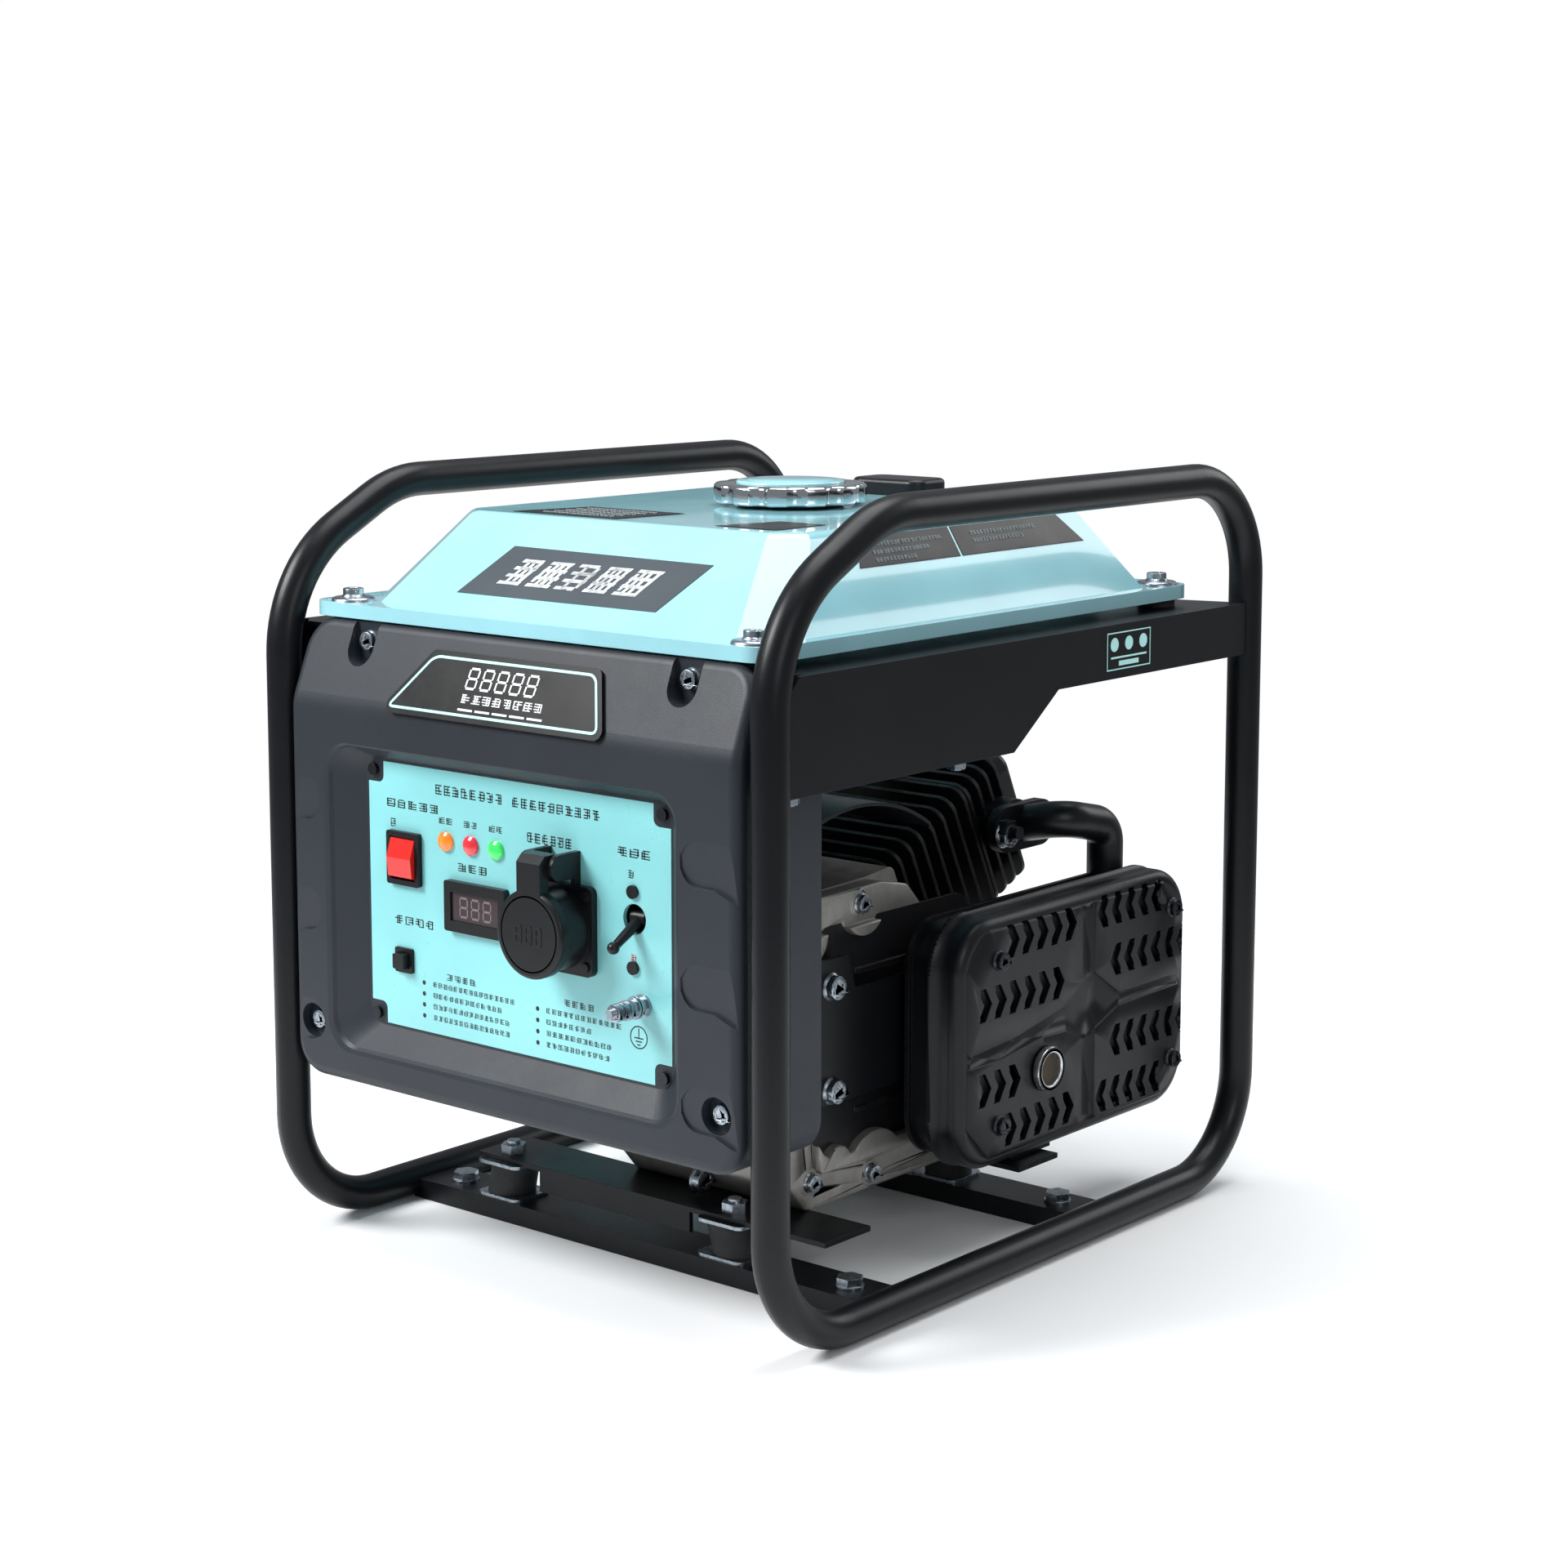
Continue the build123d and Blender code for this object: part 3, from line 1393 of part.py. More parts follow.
def voltmeter():
    """Frame and body of the voltmeter."""
    x, z = meter_at
    width, height = meter_size
    case = front_plate(Pos(x, z) * RectangleRounded(width, height, 1.5), (panel_face - meter_proud, panel_face))
    body = Pos(x, z) * Rectangle(width - 4, height - 4)
    case += front_plate(body, (panel_face, panel_face + meter_depth))
    window = Pos(x, z) * Rectangle(width - 2 * meter_frame + 2, height - 2 * meter_frame)
    return case - front_plate(window, (panel_face - meter_proud - 1, panel_face + 3))


def voltmeter_window():
    """Dark window that sits in the voltmeter's frame."""
    x, z = meter_at
    window = Pos(x, z) * Rectangle(meter_size[0] - 2 * meter_frame + 2 - 2 * weld_gap,
                                   meter_size[1] - 2 * meter_frame - 2 * weld_gap)
    return front_plate(window, (panel_face - meter_proud + 1.2, panel_face + 3))


def reset_housing():
    """Square guide of the reset button."""
    at = Pos(*reset_at)
    guide = front_plate(at * RectangleRounded(reset_size, reset_size, 1.2), (panel_face - 1.5, panel_face))
    guide += front_plate(at * Rectangle(reset_size - 2, reset_size - 2), (panel_face, panel_face + 16))
    room = at * Rectangle(reset_size - 5, reset_size - 5)
    return guide - front_plate(room, (panel_face - 3, panel_face + 14))


def reset_button():
    """Square plunger that stands out of its guide."""
    at = Pos(*reset_at)
    side = reset_size - 5 - 2 * fit
    return front_plate(at * RectangleRounded(side, side, 0.8), (panel_face - 6, panel_face + 10))


def hinge_point():
    """Y and Z of the socket lid's hinge."""
    return (panel_face - socket_plate - hinge_radius - 4, socket_at[1] + flap_hinge_rise)


def socket_base():
    """Square plate, round collar with the plug recess, earth clips and hinge ears."""
    x, z = socket_at
    plate = front_plate(Pos(x, z) * RectangleRounded(socket_size, socket_size, 4),
                        (panel_face - socket_plate, panel_face))
    collar_front = panel_face - socket_plate - collar_length
    plate += rod_y(x, (collar_front, panel_face), z, collar_radius)
    plate += rod_y(x, (panel_face, panel_face + socket_depth), z, collar_radius - 2)
    plate -= rod_y(x, (collar_front - 1, panel_face + 6), z, plug_recess)
    for offset_x in (-9.5, 9.5):
        plate -= rod_y(x + offset_x, (panel_face, panel_face + socket_depth - 6), z, 2.6)
    hinge_y, hinge_z = hinge_point()
    for side in (1, -1):
        near = x + side * (hinge_width / 2 + fit)
        ear = sorted((near, near + side * hinge_ear))
        plate += rod_x(ear, hinge_y, hinge_z, hinge_radius)
        plate += block(ear, (hinge_y, panel_face), (hinge_z - hinge_radius, hinge_z + hinge_radius))
        plate += block(ear, (panel_face - socket_plate, panel_face), (z, hinge_z))
    for side_x in (1, -1):
        for side_z in (1, -1):
            at = (x + side_x * (socket_size / 2 - 5), z + side_z * (socket_size / 2 - 5))
            plate += rod_y(at[0], (panel_face - socket_plate - 1.2, panel_face - socket_plate), at[1], 2.8)
    return plate


def socket_flap():
    """Round sprung lid with its neck and hinge barrel."""
    x, z = socket_at
    hinge_y, hinge_z = hinge_point()
    disc = rod_y(x, (flap_front, flap_back), z, flap_radius)
    disc = fillet(disc.faces().sort_by(Axis.Y)[0].edges(), 2)
    half = hinge_width / 2
    disc += block((x - half, x + half), (flap_front, flap_back), (z, hinge_z))
    disc += rod_x((x - half, x + half), hinge_y, hinge_z, hinge_radius)
    arm = outline_of(
        (flap_front, hinge_z - 3),
        (hinge_y, hinge_z - hinge_radius + 1),
        (hinge_y, hinge_z + hinge_radius),
        (flap_front + 4, hinge_z + hinge_radius),
        (flap_front, hinge_z + hinge_radius - 4),
    )
    disc += side_plate(arm, (x - half, x + half))
    return disc


def breaker_pivot():
    return panel_face + panel_wall + 3.0


def breaker_body():
    """Case of the toggle breaker behind the panel, with its two screws in front."""
    x, z = breaker_at
    pivot = breaker_pivot()
    case = block((x - 11, x + 11), (panel_face + panel_wall, panel_face + panel_wall + 30),
                 (z - 26, z + 18))
    case -= rod_y(x, (panel_face, pivot + 9), z, breaker_hole)
    screws = []
    for offset_z in (14.4, 14.4 - breaker_screw_pitch):
        screws.append(rod_y(x - 0.6, (panel_face - 1.8, panel_face), z + offset_z, 3.6))
    return [case] + screws


def breaker_lever():
    """Toggle lever that points forwards and down at rest."""
    x, z = breaker_at
    pivot = breaker_pivot()
    turn = Pos(x, pivot, z) * Rot(lever_angle, 0, 0)
    lever = turn * Pos(0, -lever_length / 2 + 2, 0) * Rot(90, 0, 0) * Cone(
        lever_radius, lever_radius * 0.7, lever_length - 8)
    lever += turn * Pos(0, -lever_length + 5, 0) * Sphere(lever_radius)
    return lever + rod_x((x - 5, x + 5), pivot, z, 4)


def ground_terminal():
    """Stud with two nuts and their washers."""
    x, z = ground_at
    face = panel_face
    stud = rod_y(x, (face - ground_length, face + 12), z, small_bolt / 2)
    stack = ((0.0, 1.4, 0), (1.4, 6.0, 1), (8.5, 10.0, 0), (10.0, 14.5, 1), (18.0, 22.5, 1))
    for start, end, is_nut in stack:
        if is_nut:
            stud += front_plate(Pos(x, z) * hexagon(small_bolt), (face - end, face - start))
        else:
            stud += rod_y(x, (face - end, face - start), z, small_bolt * 1.05)
    return stud


def inverter_module():
    """Finned aluminium box behind the panel."""
    back = front_face + fascia_depth + 10
    low = panel_middle - panel_height / 2 + 14
    high = panel_middle + panel_height / 2 + 4
    left = -fascia_half + 40
    right = socket_at[0] + 14
    box = block((left, right), (back - 30, back - 10), (low, high))
    count = 12
    pitch = (right - left - 3) / (count - 1)
    for number in range(count):
        x = left + number * pitch
        box += block((x, x + 3), (back - 10, back), (low, high))
    return box


# ---- Fuel tank ----
def tank_bolt_places(side):
    """X and Y of the two tank bolts on one side."""
    return [
        (side * (tank_half - tank_bolt_washer - 8), tank_y0 + tank_bolt_washer + 4.5),
        (side * (tank_half - tank_bolt_washer - 4.5), tank_y1 - tank_bolt_washer - 4),
    ]


def flange_outline(shrink):
    """Tank flange seen from above."""
    width = 2 * (tank_half - shrink)
    length = tank_y1 - tank_y0 - 2 * shrink
    return Pos(0, (tank_y0 + tank_y1) / 2) * RectangleRounded(width, length, 14 - shrink)


def tank_corners(shrink, level):
    """Eight corners of the tank's body at the foot (level 0) or at the top (level 1)."""
    foot = (tank_half - tank_foot_side, tank_y0 + tank_foot_front, tank_y1 - 12.0, tank_foot_corner)
    top = (tank_half - tank_top_side, tank_y0 + tank_top_front, tank_y1 - tank_top_rear, 16.0)
    half, low, high, cut = (a + (b - a) * level for a, b in zip(foot, top))
    half -= shrink
    low += shrink
    high -= shrink
    return [
        (-half, low + cut),
        (-half + cut, low),
        (half - cut, low),
        (half, low + cut),
        (half, high - cut),
        (half - cut, high),
        (-half + cut, high),
        (-half, high - cut),
    ]


def tank_dome(shrink):
    """Tapered body of the upper shell; shrink gives the room inside it."""
    low = tank_z + (tank_bead - tank_flange if not shrink else -1.0)
    high = tank_top_z - shrink
    base = tank_z + tank_bead
    reach = tank_top_z - base
    faces = []
    for z in (low, high):
        level = (z - base) / reach
        faces.append(Plane.XY.offset(z) * outline_of(*tank_corners(shrink, level)))
    dome = loft(faces, ruled=True)
    round_edge = 9.0 if not shrink else 7.5
    return fillet(dome.faces().sort_by(Axis.Z)[-1].edges(), round_edge)


def tank_upper():
    """Upper shell with the rolled flange and the filler neck."""
    shell = level_plate(flange_outline(0), (tank_z - 1.0, tank_z + tank_bead))
    shell -= level_plate(flange_outline(3.0), (tank_z - 2.0, tank_z + tank_flange))
    shell -= level_plate(flange_outline(3.0), (tank_z + 2 * tank_flange, tank_z + tank_bead + 1))
    shell += tank_dome(0)
    shell -= tank_dome(tank_wall)
    x, y = cap_at
    shell += rod_z(x, y, (tank_top_z - neck_depth, tank_top_z), neck_radius + neck_wall)
    shell -= rod_z(x, y, (tank_top_z - neck_depth - 1, tank_top_z + 1), neck_radius)
    for side in (1, -1):
        for bolt_x, bolt_y in tank_bolt_places(side):
            shell -= rod_z(bolt_x, bolt_y, (tank_z - 2, tank_z + tank_bead + 1),
                           large_bolt / 2 + bolt_hole_clearance)
    return shell


def pan_outline(shrink):
    """Lower tank pan seen from above."""
    width = 2 * (tank_half - pan_inset - shrink)
    length = tank_y1 - tank_y0 - 2 * (pan_inset - 8 + shrink)
    return Pos(0, (tank_y0 + tank_y1) / 2) * RectangleRounded(width, length, 22)


def tank_lower():
    """Lower pan with its flange clamped under the upper one."""
    low = tank_z - pan_depth
    pan = loft([Plane.XY.offset(low) * pan_outline(pan_taper), Plane.XY.offset(tank_z) * pan_outline(0)])
    pan = fillet(pan.faces().sort_by(Axis.Z)[0].edges(), 6)
    pan += level_plate(flange_outline(3.2), (tank_z, tank_z + tank_flange - 0.2))
    room = loft([
        Plane.XY.offset(low + tank_wall) * pan_outline(pan_taper + tank_wall),
        Plane.XY.offset(tank_z + tank_flange) * pan_outline(tank_wall),
    ])
    room = fillet(room.faces().sort_by(Axis.Z)[0].edges(), 5)
    pan -= room
    for side in (1, -1):
        for x, y in tank_bolt_places(side):
            pan -= rod_z(x, y, (tank_z - 1, tank_z + tank_bead), large_bolt / 2 + bolt_hole_clearance)
    return pan


def tank_bolts():
    """Bolts with wide domed washers that hold the tank to its rails."""
    pieces = []
    seat = tank_z + 2 * tank_flange
    grip = seat - rail_top + rail_wall
    for side in (1, -1):
        for x, y in tank_bolt_places(side):
            washer = rod_z(x, y, (seat, seat + 2.5), tank_bolt_washer)
            washer = chamfer(washer.faces().sort_by(Axis.Z)[-1].edges(), 1.6)
            pieces.append(washer + bolt_down(x, y, seat + 2.5, large_bolt, grip + 2.5))
    return pieces


def tank_grommets():
    """Rubber rings between the rails and the tank flange."""
    return [
        rod_z(x, y, (rail_top, tank_z), 11.0)
        - rod_z(x, y, (rail_top - 1, tank_z + 1), large_bolt / 2 + bolt_hole_clearance)
        for side in (1, -1)
        for x, y in tank_bolt_places(side)
    ]


def cap_plug():
    """Inner plug of the cap with its seal and its two locking ears."""
    x, y = cap_at
    seat = tank_top_z
    plug = rod_z(x, y, (seat - plug_length, seat + fit), plug_radius)
    plug += rod_z(x, y, (seat + fit, seat + fit + 2), neck_radius + neck_wall)
    return plug - rod_z(x, y, (seat - plug_length - 1, seat - 3), plug_radius - 4)


def fuel_cap():
    """Lobed outer shell of the cap with a raised middle."""
    x, y = cap_at
    seat = tank_top_z + fit + 2
    low = tank_top_z + 2.0
    high = seat + cap_height
    rim = rod_z(x, y, (low, high), cap_radius)
    rim = fillet(rim.faces().sort_by(Axis.Z)[-1].edges(), 3)
    for number in range(cap_lobes):
        turn = Pos(x, y, 0) * Rot(0, 0, number * 360 / cap_lobes)
        rim -= turn * rod_z(cap_radius + 7.5, 0, (low - 1, high + 1), 9.5)
    rim += rod_z(x, y, (high, high + cap_button_height), cap_button)
    rim -= rod_z(x, y, (low - 1, seat), neck_radius + neck_wall + 1.0)
    return rim


def fuel_gauge():
    """Low rounded box with a sloping top on the rear of the tank."""
    x, y = gauge_at
    width, depth = gauge_size
    case = Pos(x, y, gauge_z) * extrude(RectangleRounded(width, depth, 9), gauge_height)
    return fillet(case.faces().sort_by(Axis.Z)[-1].edges(), 3)


def fuel_valve():
    """Tap body hung under the pan, with its inlet and outlet stubs."""
    x, y, z = valve_place()
    body = block((x - 9, x + 9), (y - 10, y + 10), (z - 10, z + 10))
    body += rod_z(x, y, (z + 10, tank_z - pan_depth), 5)
    body += rod_z(x, y, (z - 20, z - 10), 3.5)
    return body - rod_x((x - 10, x - 4), y, z, 4 + running_clearance)


def valve_place():
    """Middle of the fuel tap, under the pan and in front of the carburettor."""
    return (2 * cylinder_x - case_right - 35, intake_line()[0] - 62, tank_z - pan_depth - 22)


def fuel_valve_lever():
    """Lever on the left face of the tap."""
    x, y, z = valve_place()
    hub = rod_x((x - 16, x - 9 - fit), y, z, 7)
    hub += rod_x((x - 10, x - 5), y, z, 4)
    return hub + block((x - 15, x - 11), (y - 4, y + 4), (z - 30, z))


def fuel_hose():
    """Hose from the tap to the carburettor's bowl."""
    x, y, z = valve_place()
    in_y, in_z = intake_line()
    bowl_x = 2 * cylinder_x - case_right - 22
    end_y = in_y - 15
    end_z = in_z - 14
    points = (
        (x, y, z - 20),
        (x, y, end_z + 10),
        (bowl_x, y + 22, end_z),
        (bowl_x, end_y, end_z),
    )
    return swept(FilletPolyline(*points, radius=(12, 12)), 3.5)


nodes = {
    "right_frame_loop": frame_loop(1),
    "left_frame_loop": frame_loop(-1),
    "cross_beams": cross_beams(),
    "tank_rails": mirrored(tank_rail),
    "frame_bolts": frame_bolts() + mount_plates(),
    "rubber_mounts": rubber_mounts() + tank_grommets(),
    "engine_rails": engine_rails() + [muffler_bracket(), front_bracket()],
    "fascia": fascia(),
    "control_panel": control_panel(),
    "fascia_screws": fascia_screws(),
    "panel_screws": panel_screws(),
    "badge": badge(),
    "switch_frame": switch_frame(),
    "switch_rocker": switch_rocker(),
    "lamp_amber": lamp(0),
    "lamp_red": lamp(1),
    "lamp_green": lamp(2),
    "voltmeter": voltmeter(),
    "voltmeter_window": voltmeter_window(),
    "reset_housing": reset_housing(),
    "reset_button": reset_button(),
    "socket_base": socket_base(),
    "socket_flap": socket_flap(),
    "breaker_body": breaker_body(),
    "breaker_lever": breaker_lever(),
    "ground_terminal": ground_terminal(),
    "inverter_module": inverter_module(),
    "tank_upper": tank_upper(),
    "tank_lower": tank_lower(),
    "tank_bolts": tank_bolts(),
    "cap_plug": cap_plug(),
    "fuel_cap": fuel_cap(),
    "fuel_gauge": fuel_gauge(),
    "fuel_valve": fuel_valve(),
    "fuel_valve_lever": fuel_valve_lever(),
    "fuel_hose": fuel_hose(),
    "crankcase": crankcase(),
    "crankcase_cover": crankcase_cover(),
    "engine_bolts": engine_bolts() + guard_screws(),
    "oil_dipstick": oil_dipstick(),
    "cylinder": cylinder(),
    "cylinder_head": cylinder_head(),
    "valve_cover": valve_cover(),
    "spark_plug": spark_plug(),
    "crankshaft": crankshaft(),
    "alternator_rotor": alternator_rotor(),
    "alternator_stator": alternator_stator(),
    "cooling_fan": cooling_fan(),
    "blower_housing": blower_housing(),
    "recoil_housing": recoil_housing(),
    "starter_pulley": starter_pulley(),
    "starter_handle": starter_handle(),
    "carburettor": carburettor(),
    "choke_lever": choke_lever(),
    "air_filter_box": air_filter_box(),
    "air_filter_cover": air_filter_cover(),
    "exhaust_pipe": exhaust_pipe(),
    "muffler_body": muffler_body(),
    "muffler_guard": muffler_guard(),
    "heat_shield": heat_shield(),
}

os.makedirs("parts", exist_ok=True)
for name, shape in nodes.items():
    pieces = shape if isinstance(shape, list) else [shape]
    solids = [solid for piece in pieces for solid in piece.solids()]
    whole = solids[0] if len(solids) == 1 else Compound(children=solids)
    export_step(Pos(0, origin_shift, 0) * whole, f"parts/{name}.step")
    print(name, len(solids), round(whole.volume))
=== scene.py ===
import json
import random
from contextlib import contextmanager
from math import cos, pi, radians, sin, tau

import bmesh
import bpy
from mathutils import Matrix, Vector


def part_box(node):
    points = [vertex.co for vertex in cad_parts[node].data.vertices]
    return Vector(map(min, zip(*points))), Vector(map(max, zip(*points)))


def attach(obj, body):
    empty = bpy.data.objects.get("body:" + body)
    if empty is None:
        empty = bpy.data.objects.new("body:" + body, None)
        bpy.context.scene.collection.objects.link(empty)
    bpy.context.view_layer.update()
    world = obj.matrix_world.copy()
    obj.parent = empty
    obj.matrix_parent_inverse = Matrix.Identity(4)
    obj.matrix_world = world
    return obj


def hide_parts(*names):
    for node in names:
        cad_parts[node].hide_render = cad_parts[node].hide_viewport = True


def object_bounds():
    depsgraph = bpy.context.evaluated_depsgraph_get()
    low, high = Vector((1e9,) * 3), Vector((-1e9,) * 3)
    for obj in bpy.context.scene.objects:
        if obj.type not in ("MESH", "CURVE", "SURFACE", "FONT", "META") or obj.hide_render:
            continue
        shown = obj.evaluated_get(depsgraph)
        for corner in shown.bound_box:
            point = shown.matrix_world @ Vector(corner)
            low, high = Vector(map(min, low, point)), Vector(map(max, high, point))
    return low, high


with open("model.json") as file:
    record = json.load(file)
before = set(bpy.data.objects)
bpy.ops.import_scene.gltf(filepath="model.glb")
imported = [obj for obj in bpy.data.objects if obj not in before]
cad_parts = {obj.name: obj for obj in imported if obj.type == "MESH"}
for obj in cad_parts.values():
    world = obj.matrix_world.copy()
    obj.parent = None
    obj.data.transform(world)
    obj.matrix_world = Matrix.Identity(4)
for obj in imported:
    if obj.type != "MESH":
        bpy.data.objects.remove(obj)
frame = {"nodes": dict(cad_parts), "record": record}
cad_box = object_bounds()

bl_info = {
    "name": "Portable Generator Looks",
    "version": (1, 0, 0),
    "blender": (4, 5, 0),
    "location": "View3D > Sidebar > Generator",
    "description": "Finishes and detailed pieces for a framed portable generator",
    "category": "Object",
}

MM = 0.001
X_AXIS, Y_AXIS, Z_AXIS = Vector((1, 0, 0)), Vector((0, 1, 0)), Vector((0, 0, 1))

panel_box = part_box("control_panel")
panel_mid = (panel_box[0] + panel_box[1]) / 2
panel_face = panel_box[0].y
FINISHES = {}


def linear(code):
    """Linear colour from a six-digit hexadecimal one."""
    parts = [int(code[i:i + 2], 16) / 255 for i in (0, 2, 4)]
    return tuple(c / 12.92 if c <= 0.04045 else ((c + 0.055) / 1.055) ** 2.4 for c in parts)


# ---- Settings that a user may change ----
def colour_setting(name, description, code):
    return bpy.props.FloatVectorProperty(
        name=name, description=description, subtype="COLOR", size=3, min=0.0, max=1.0,
        default=linear(code))


def length_setting(name, description, default):
    return bpy.props.FloatProperty(
        name=name, description=description, default=default, min=0.0, unit="LENGTH")


class GeneratorColours(bpy.types.PropertyGroup):
    """Colours of the machine's finishes."""

    frame: colour_setting("Frame", "Satin powder coat of the tubes and rails", "0c0e12")
    tank: colour_setting("Tank", "Gloss enamel of the fuel tank", "96ced8")
    fascia: colour_setting("Fascia", "Moulded plastic of the control box", "22272e")
    panel: colour_setting("Panel", "Printed sheet of the control panel", "84cccf")
    ink: colour_setting("Ink", "Dark print on panel and tank", "15181b")
    red_ink: colour_setting("Red ink", "Red print on the panel", "c8322c")
    heat_black: colour_setting("Heat black", "Baked paint of the exhaust pieces", "0c0e12")
    casting: colour_setting("Casting", "Bare die-cast aluminium", "b5b2ad")


class GeneratorSizes(bpy.types.PropertyGroup):
    """Small sizes of the drawn details."""

    print_lift: length_setting("Print lift", "Thickness of printed marks", 0.06 * MM)
    decal_lift: length_setting("Decal lift", "Thickness of stuck-on decals", 0.25 * MM)
    peel: length_setting("Paint relief", "Depth of the ripple in the paint", 0.02 * MM)


def colours():
    return bpy.context.scene.generator_colours


def sizes():
    return bpy.context.scene.generator_sizes


# ---- Shader arithmetic ----
class Wire:
    """One output of a material's nodes; arithmetic on it adds Math nodes."""

    def __init__(self, finish, socket):
        self.finish = finish
        self.socket = socket

    def math(self, operation, first, second):
        return self.finish.node("ShaderNodeMath", {"operation": operation}, {0: first, 1: second})

    def __add__(self, other):
        return self.math("ADD", self, other)

    __radd__ = __add__

    def __mul__(self, other):
        return self.math("MULTIPLY", self, other)

    __rmul__ = __mul__

    def __sub__(self, other):
        return self.math("SUBTRACT", self, other)

    def __rsub__(self, other):
        return self.math("SUBTRACT", other, self)


class Finish:
    """A material in the making, read by the place on the piece."""

    def __init__(self, name):
        self.material = bpy.data.materials.new(name)
        self.material.use_nodes = True
        self.tree = self.material.node_tree
        self.tree.nodes.clear()
        self.place = self.node("ShaderNodeTexCoord", {}, {}, "Object")

    def node(self, kind, settings, inputs, out=0):
        made = self.tree.nodes.new(kind)
        for key, value in settings.items():
            setattr(made, key, value)
        for key, value in inputs.items():
            if isinstance(value, Wire):
                self.tree.links.new(value.socket, made.inputs[key])
            else:
                made.inputs[key].default_value = value
        return Wire(self, made.outputs[out])

    def noise(self, scale, detail=2.0, rough=0.5, at=None):
        return self.node("ShaderNodeTexNoise", {}, {
            "Vector": at or self.place, "Scale": scale, "Detail": detail, "Roughness": rough})

    def stretched(self, x, y, z):
        """Place scaled by axis, for marks that run along one way."""
        return self.node("ShaderNodeMapping", {}, {"Vector": self.place, "Scale": (x, y, z)})

    def between(self, value, low, high):
        """0 below low, 1 above high, smooth in between."""
        return self.node("ShaderNodeMapRange", {"interpolation_type": "SMOOTHSTEP"},
                         {"Value": value, "From Min": low, "From Max": high})

    def mix(self, mask, first, second):
        """Colour that goes from first to second with the mask."""
        rgba = [c if isinstance(c, Wire) else (*c, 1.0) for c in (first, second)]
        return self.node("ShaderNodeMix", {"data_type": "RGBA"},
                         {0: mask, 6: rgba[0], 7: rgba[1]}, 2)

    def edges(self, radius):
        """Normal that is rounded over sharp edges."""
        return self.node("ShaderNodeBevel", {"samples": 3}, {"Radius": radius})

    def edge_mask(self, soft):
        """1 where the rounded normal leaves the real one, at edges."""
        flat = self.node("ShaderNodeNewGeometry", {}, {}, "Normal")
        same = self.node("ShaderNodeVectorMath", {"operation": "DOT_PRODUCT"},
                         {0: soft, 1: flat}, "Value")
        return self.between(1.0 - same, 0.02, 0.2)

    def bump(self, height, depth, normal=None):
        inputs = {"Height": height, "Distance": depth, "Strength": 1.0}
        if normal:
            inputs["Normal"] = normal
        return self.node("ShaderNodeBump", {}, inputs)

    def surface(self, colour, rough, normal, metal=0.0, **fixed):
        """Ends the material in its shader; fixed holds the values that are the same all over."""
        inputs = {"Base Color": colour if isinstance(colour, Wire) else (*colour, 1.0),
                  "Roughness": rough, "Metallic": metal, "Normal": normal}
        inputs.update({key.replace("_", " "): value for key, value in fixed.items()})
        shader = self.node("ShaderNodeBsdfPrincipled", {}, inputs)
        end = self.tree.nodes.new("ShaderNodeOutputMaterial")
        self.tree.links.new(shader.socket, end.inputs["Surface"])
        return self.material


def scaled(colour, factor):
    return tuple(min(c * factor, 1.0) for c in colour)


# ---- Finishes ----
def coated(name, colour, rough, ripple=700.0, depth=None, edge=0.5 * MM, worn=0.25, **fixed):
    """Paint or plastic: faint mottling, a fine ripple or grain, and paler rubbed edges."""
    look = Finish(name)
    soft = look.edges(edge)
    cloud = look.between(look.noise(9.0, 3.0), 0.35, 0.65)
    speck = look.noise(260.0, 2.0)
    base = look.mix(cloud, scaled(colour, 0.93), scaled(colour, 1.06))
    rub = look.edge_mask(soft) * look.between(look.noise(120.0, 3.0), 0.42, 0.62) * worn
    base = look.mix(rub, base, scaled(tuple(c + 0.03 for c in colour), 1.7))
    sheen = rough + (look.noise(34.0, 4.0, 0.6) - 0.5) * 0.14 + (speck - 0.5) * 0.06 - rub * 0.12
    relief = look.noise(ripple, 2.0) + speck * 0.4
    return look.surface(base, sheen, look.bump(relief, depth or sizes().peel, soft), **fixed)


def bare_metal(name, colour, rough, run=(1.0, 1.0, 1.0), edge=0.35 * MM, depth=0.012 * MM,
               stain=0.25, **fixed):
    """Metal with fine tool marks that run along one way, and dull stains."""
    look = Finish(name)
    soft = look.edges(edge)
    marks = look.noise(900.0, 2.0, 0.6, look.stretched(*run))
    dull = look.between(look.noise(55.0, 4.0, 0.6), 0.45, 0.75) * stain
    base = look.mix(dull, colour, scaled(colour, 0.55))
    bright = look.edge_mask(soft) * 0.35
    base = look.mix(bright, base, scaled(colour, 1.3))
    sheen = rough + (marks - 0.5) * 0.2 + dull * 0.3
    return look.surface(base, sheen, look.bump(marks, depth, soft), metal=1.0, **fixed)


def printed(name, colour, rough=0.36):
    """Ink without wear."""
    return coated(name, colour, rough, 900.0, 0.006 * MM, worn=0.0)


def cast_metal(name, colour, rough):
    """Sand- or die-cast aluminium with a pebbled skin and darker smears at random."""
    look = Finish(name)
    soft = look.edges(0.8 * MM)
    pebble = look.noise(480.0, 3.0, 0.65)
    smear = look.between(look.noise(26.0, 4.0, 0.62), 0.38, 0.7)
    base = look.mix(smear, scaled(colour, 0.72), colour)
    base = look.mix(look.edge_mask(soft) * 0.5, base, scaled(colour, 1.35))
    sheen = rough + (pebble - 0.5) * 0.22 + (1.0 - smear) * 0.12
    return look.surface(base, sheen, look.bump(pebble, 0.07 * MM, soft), metal=0.85)


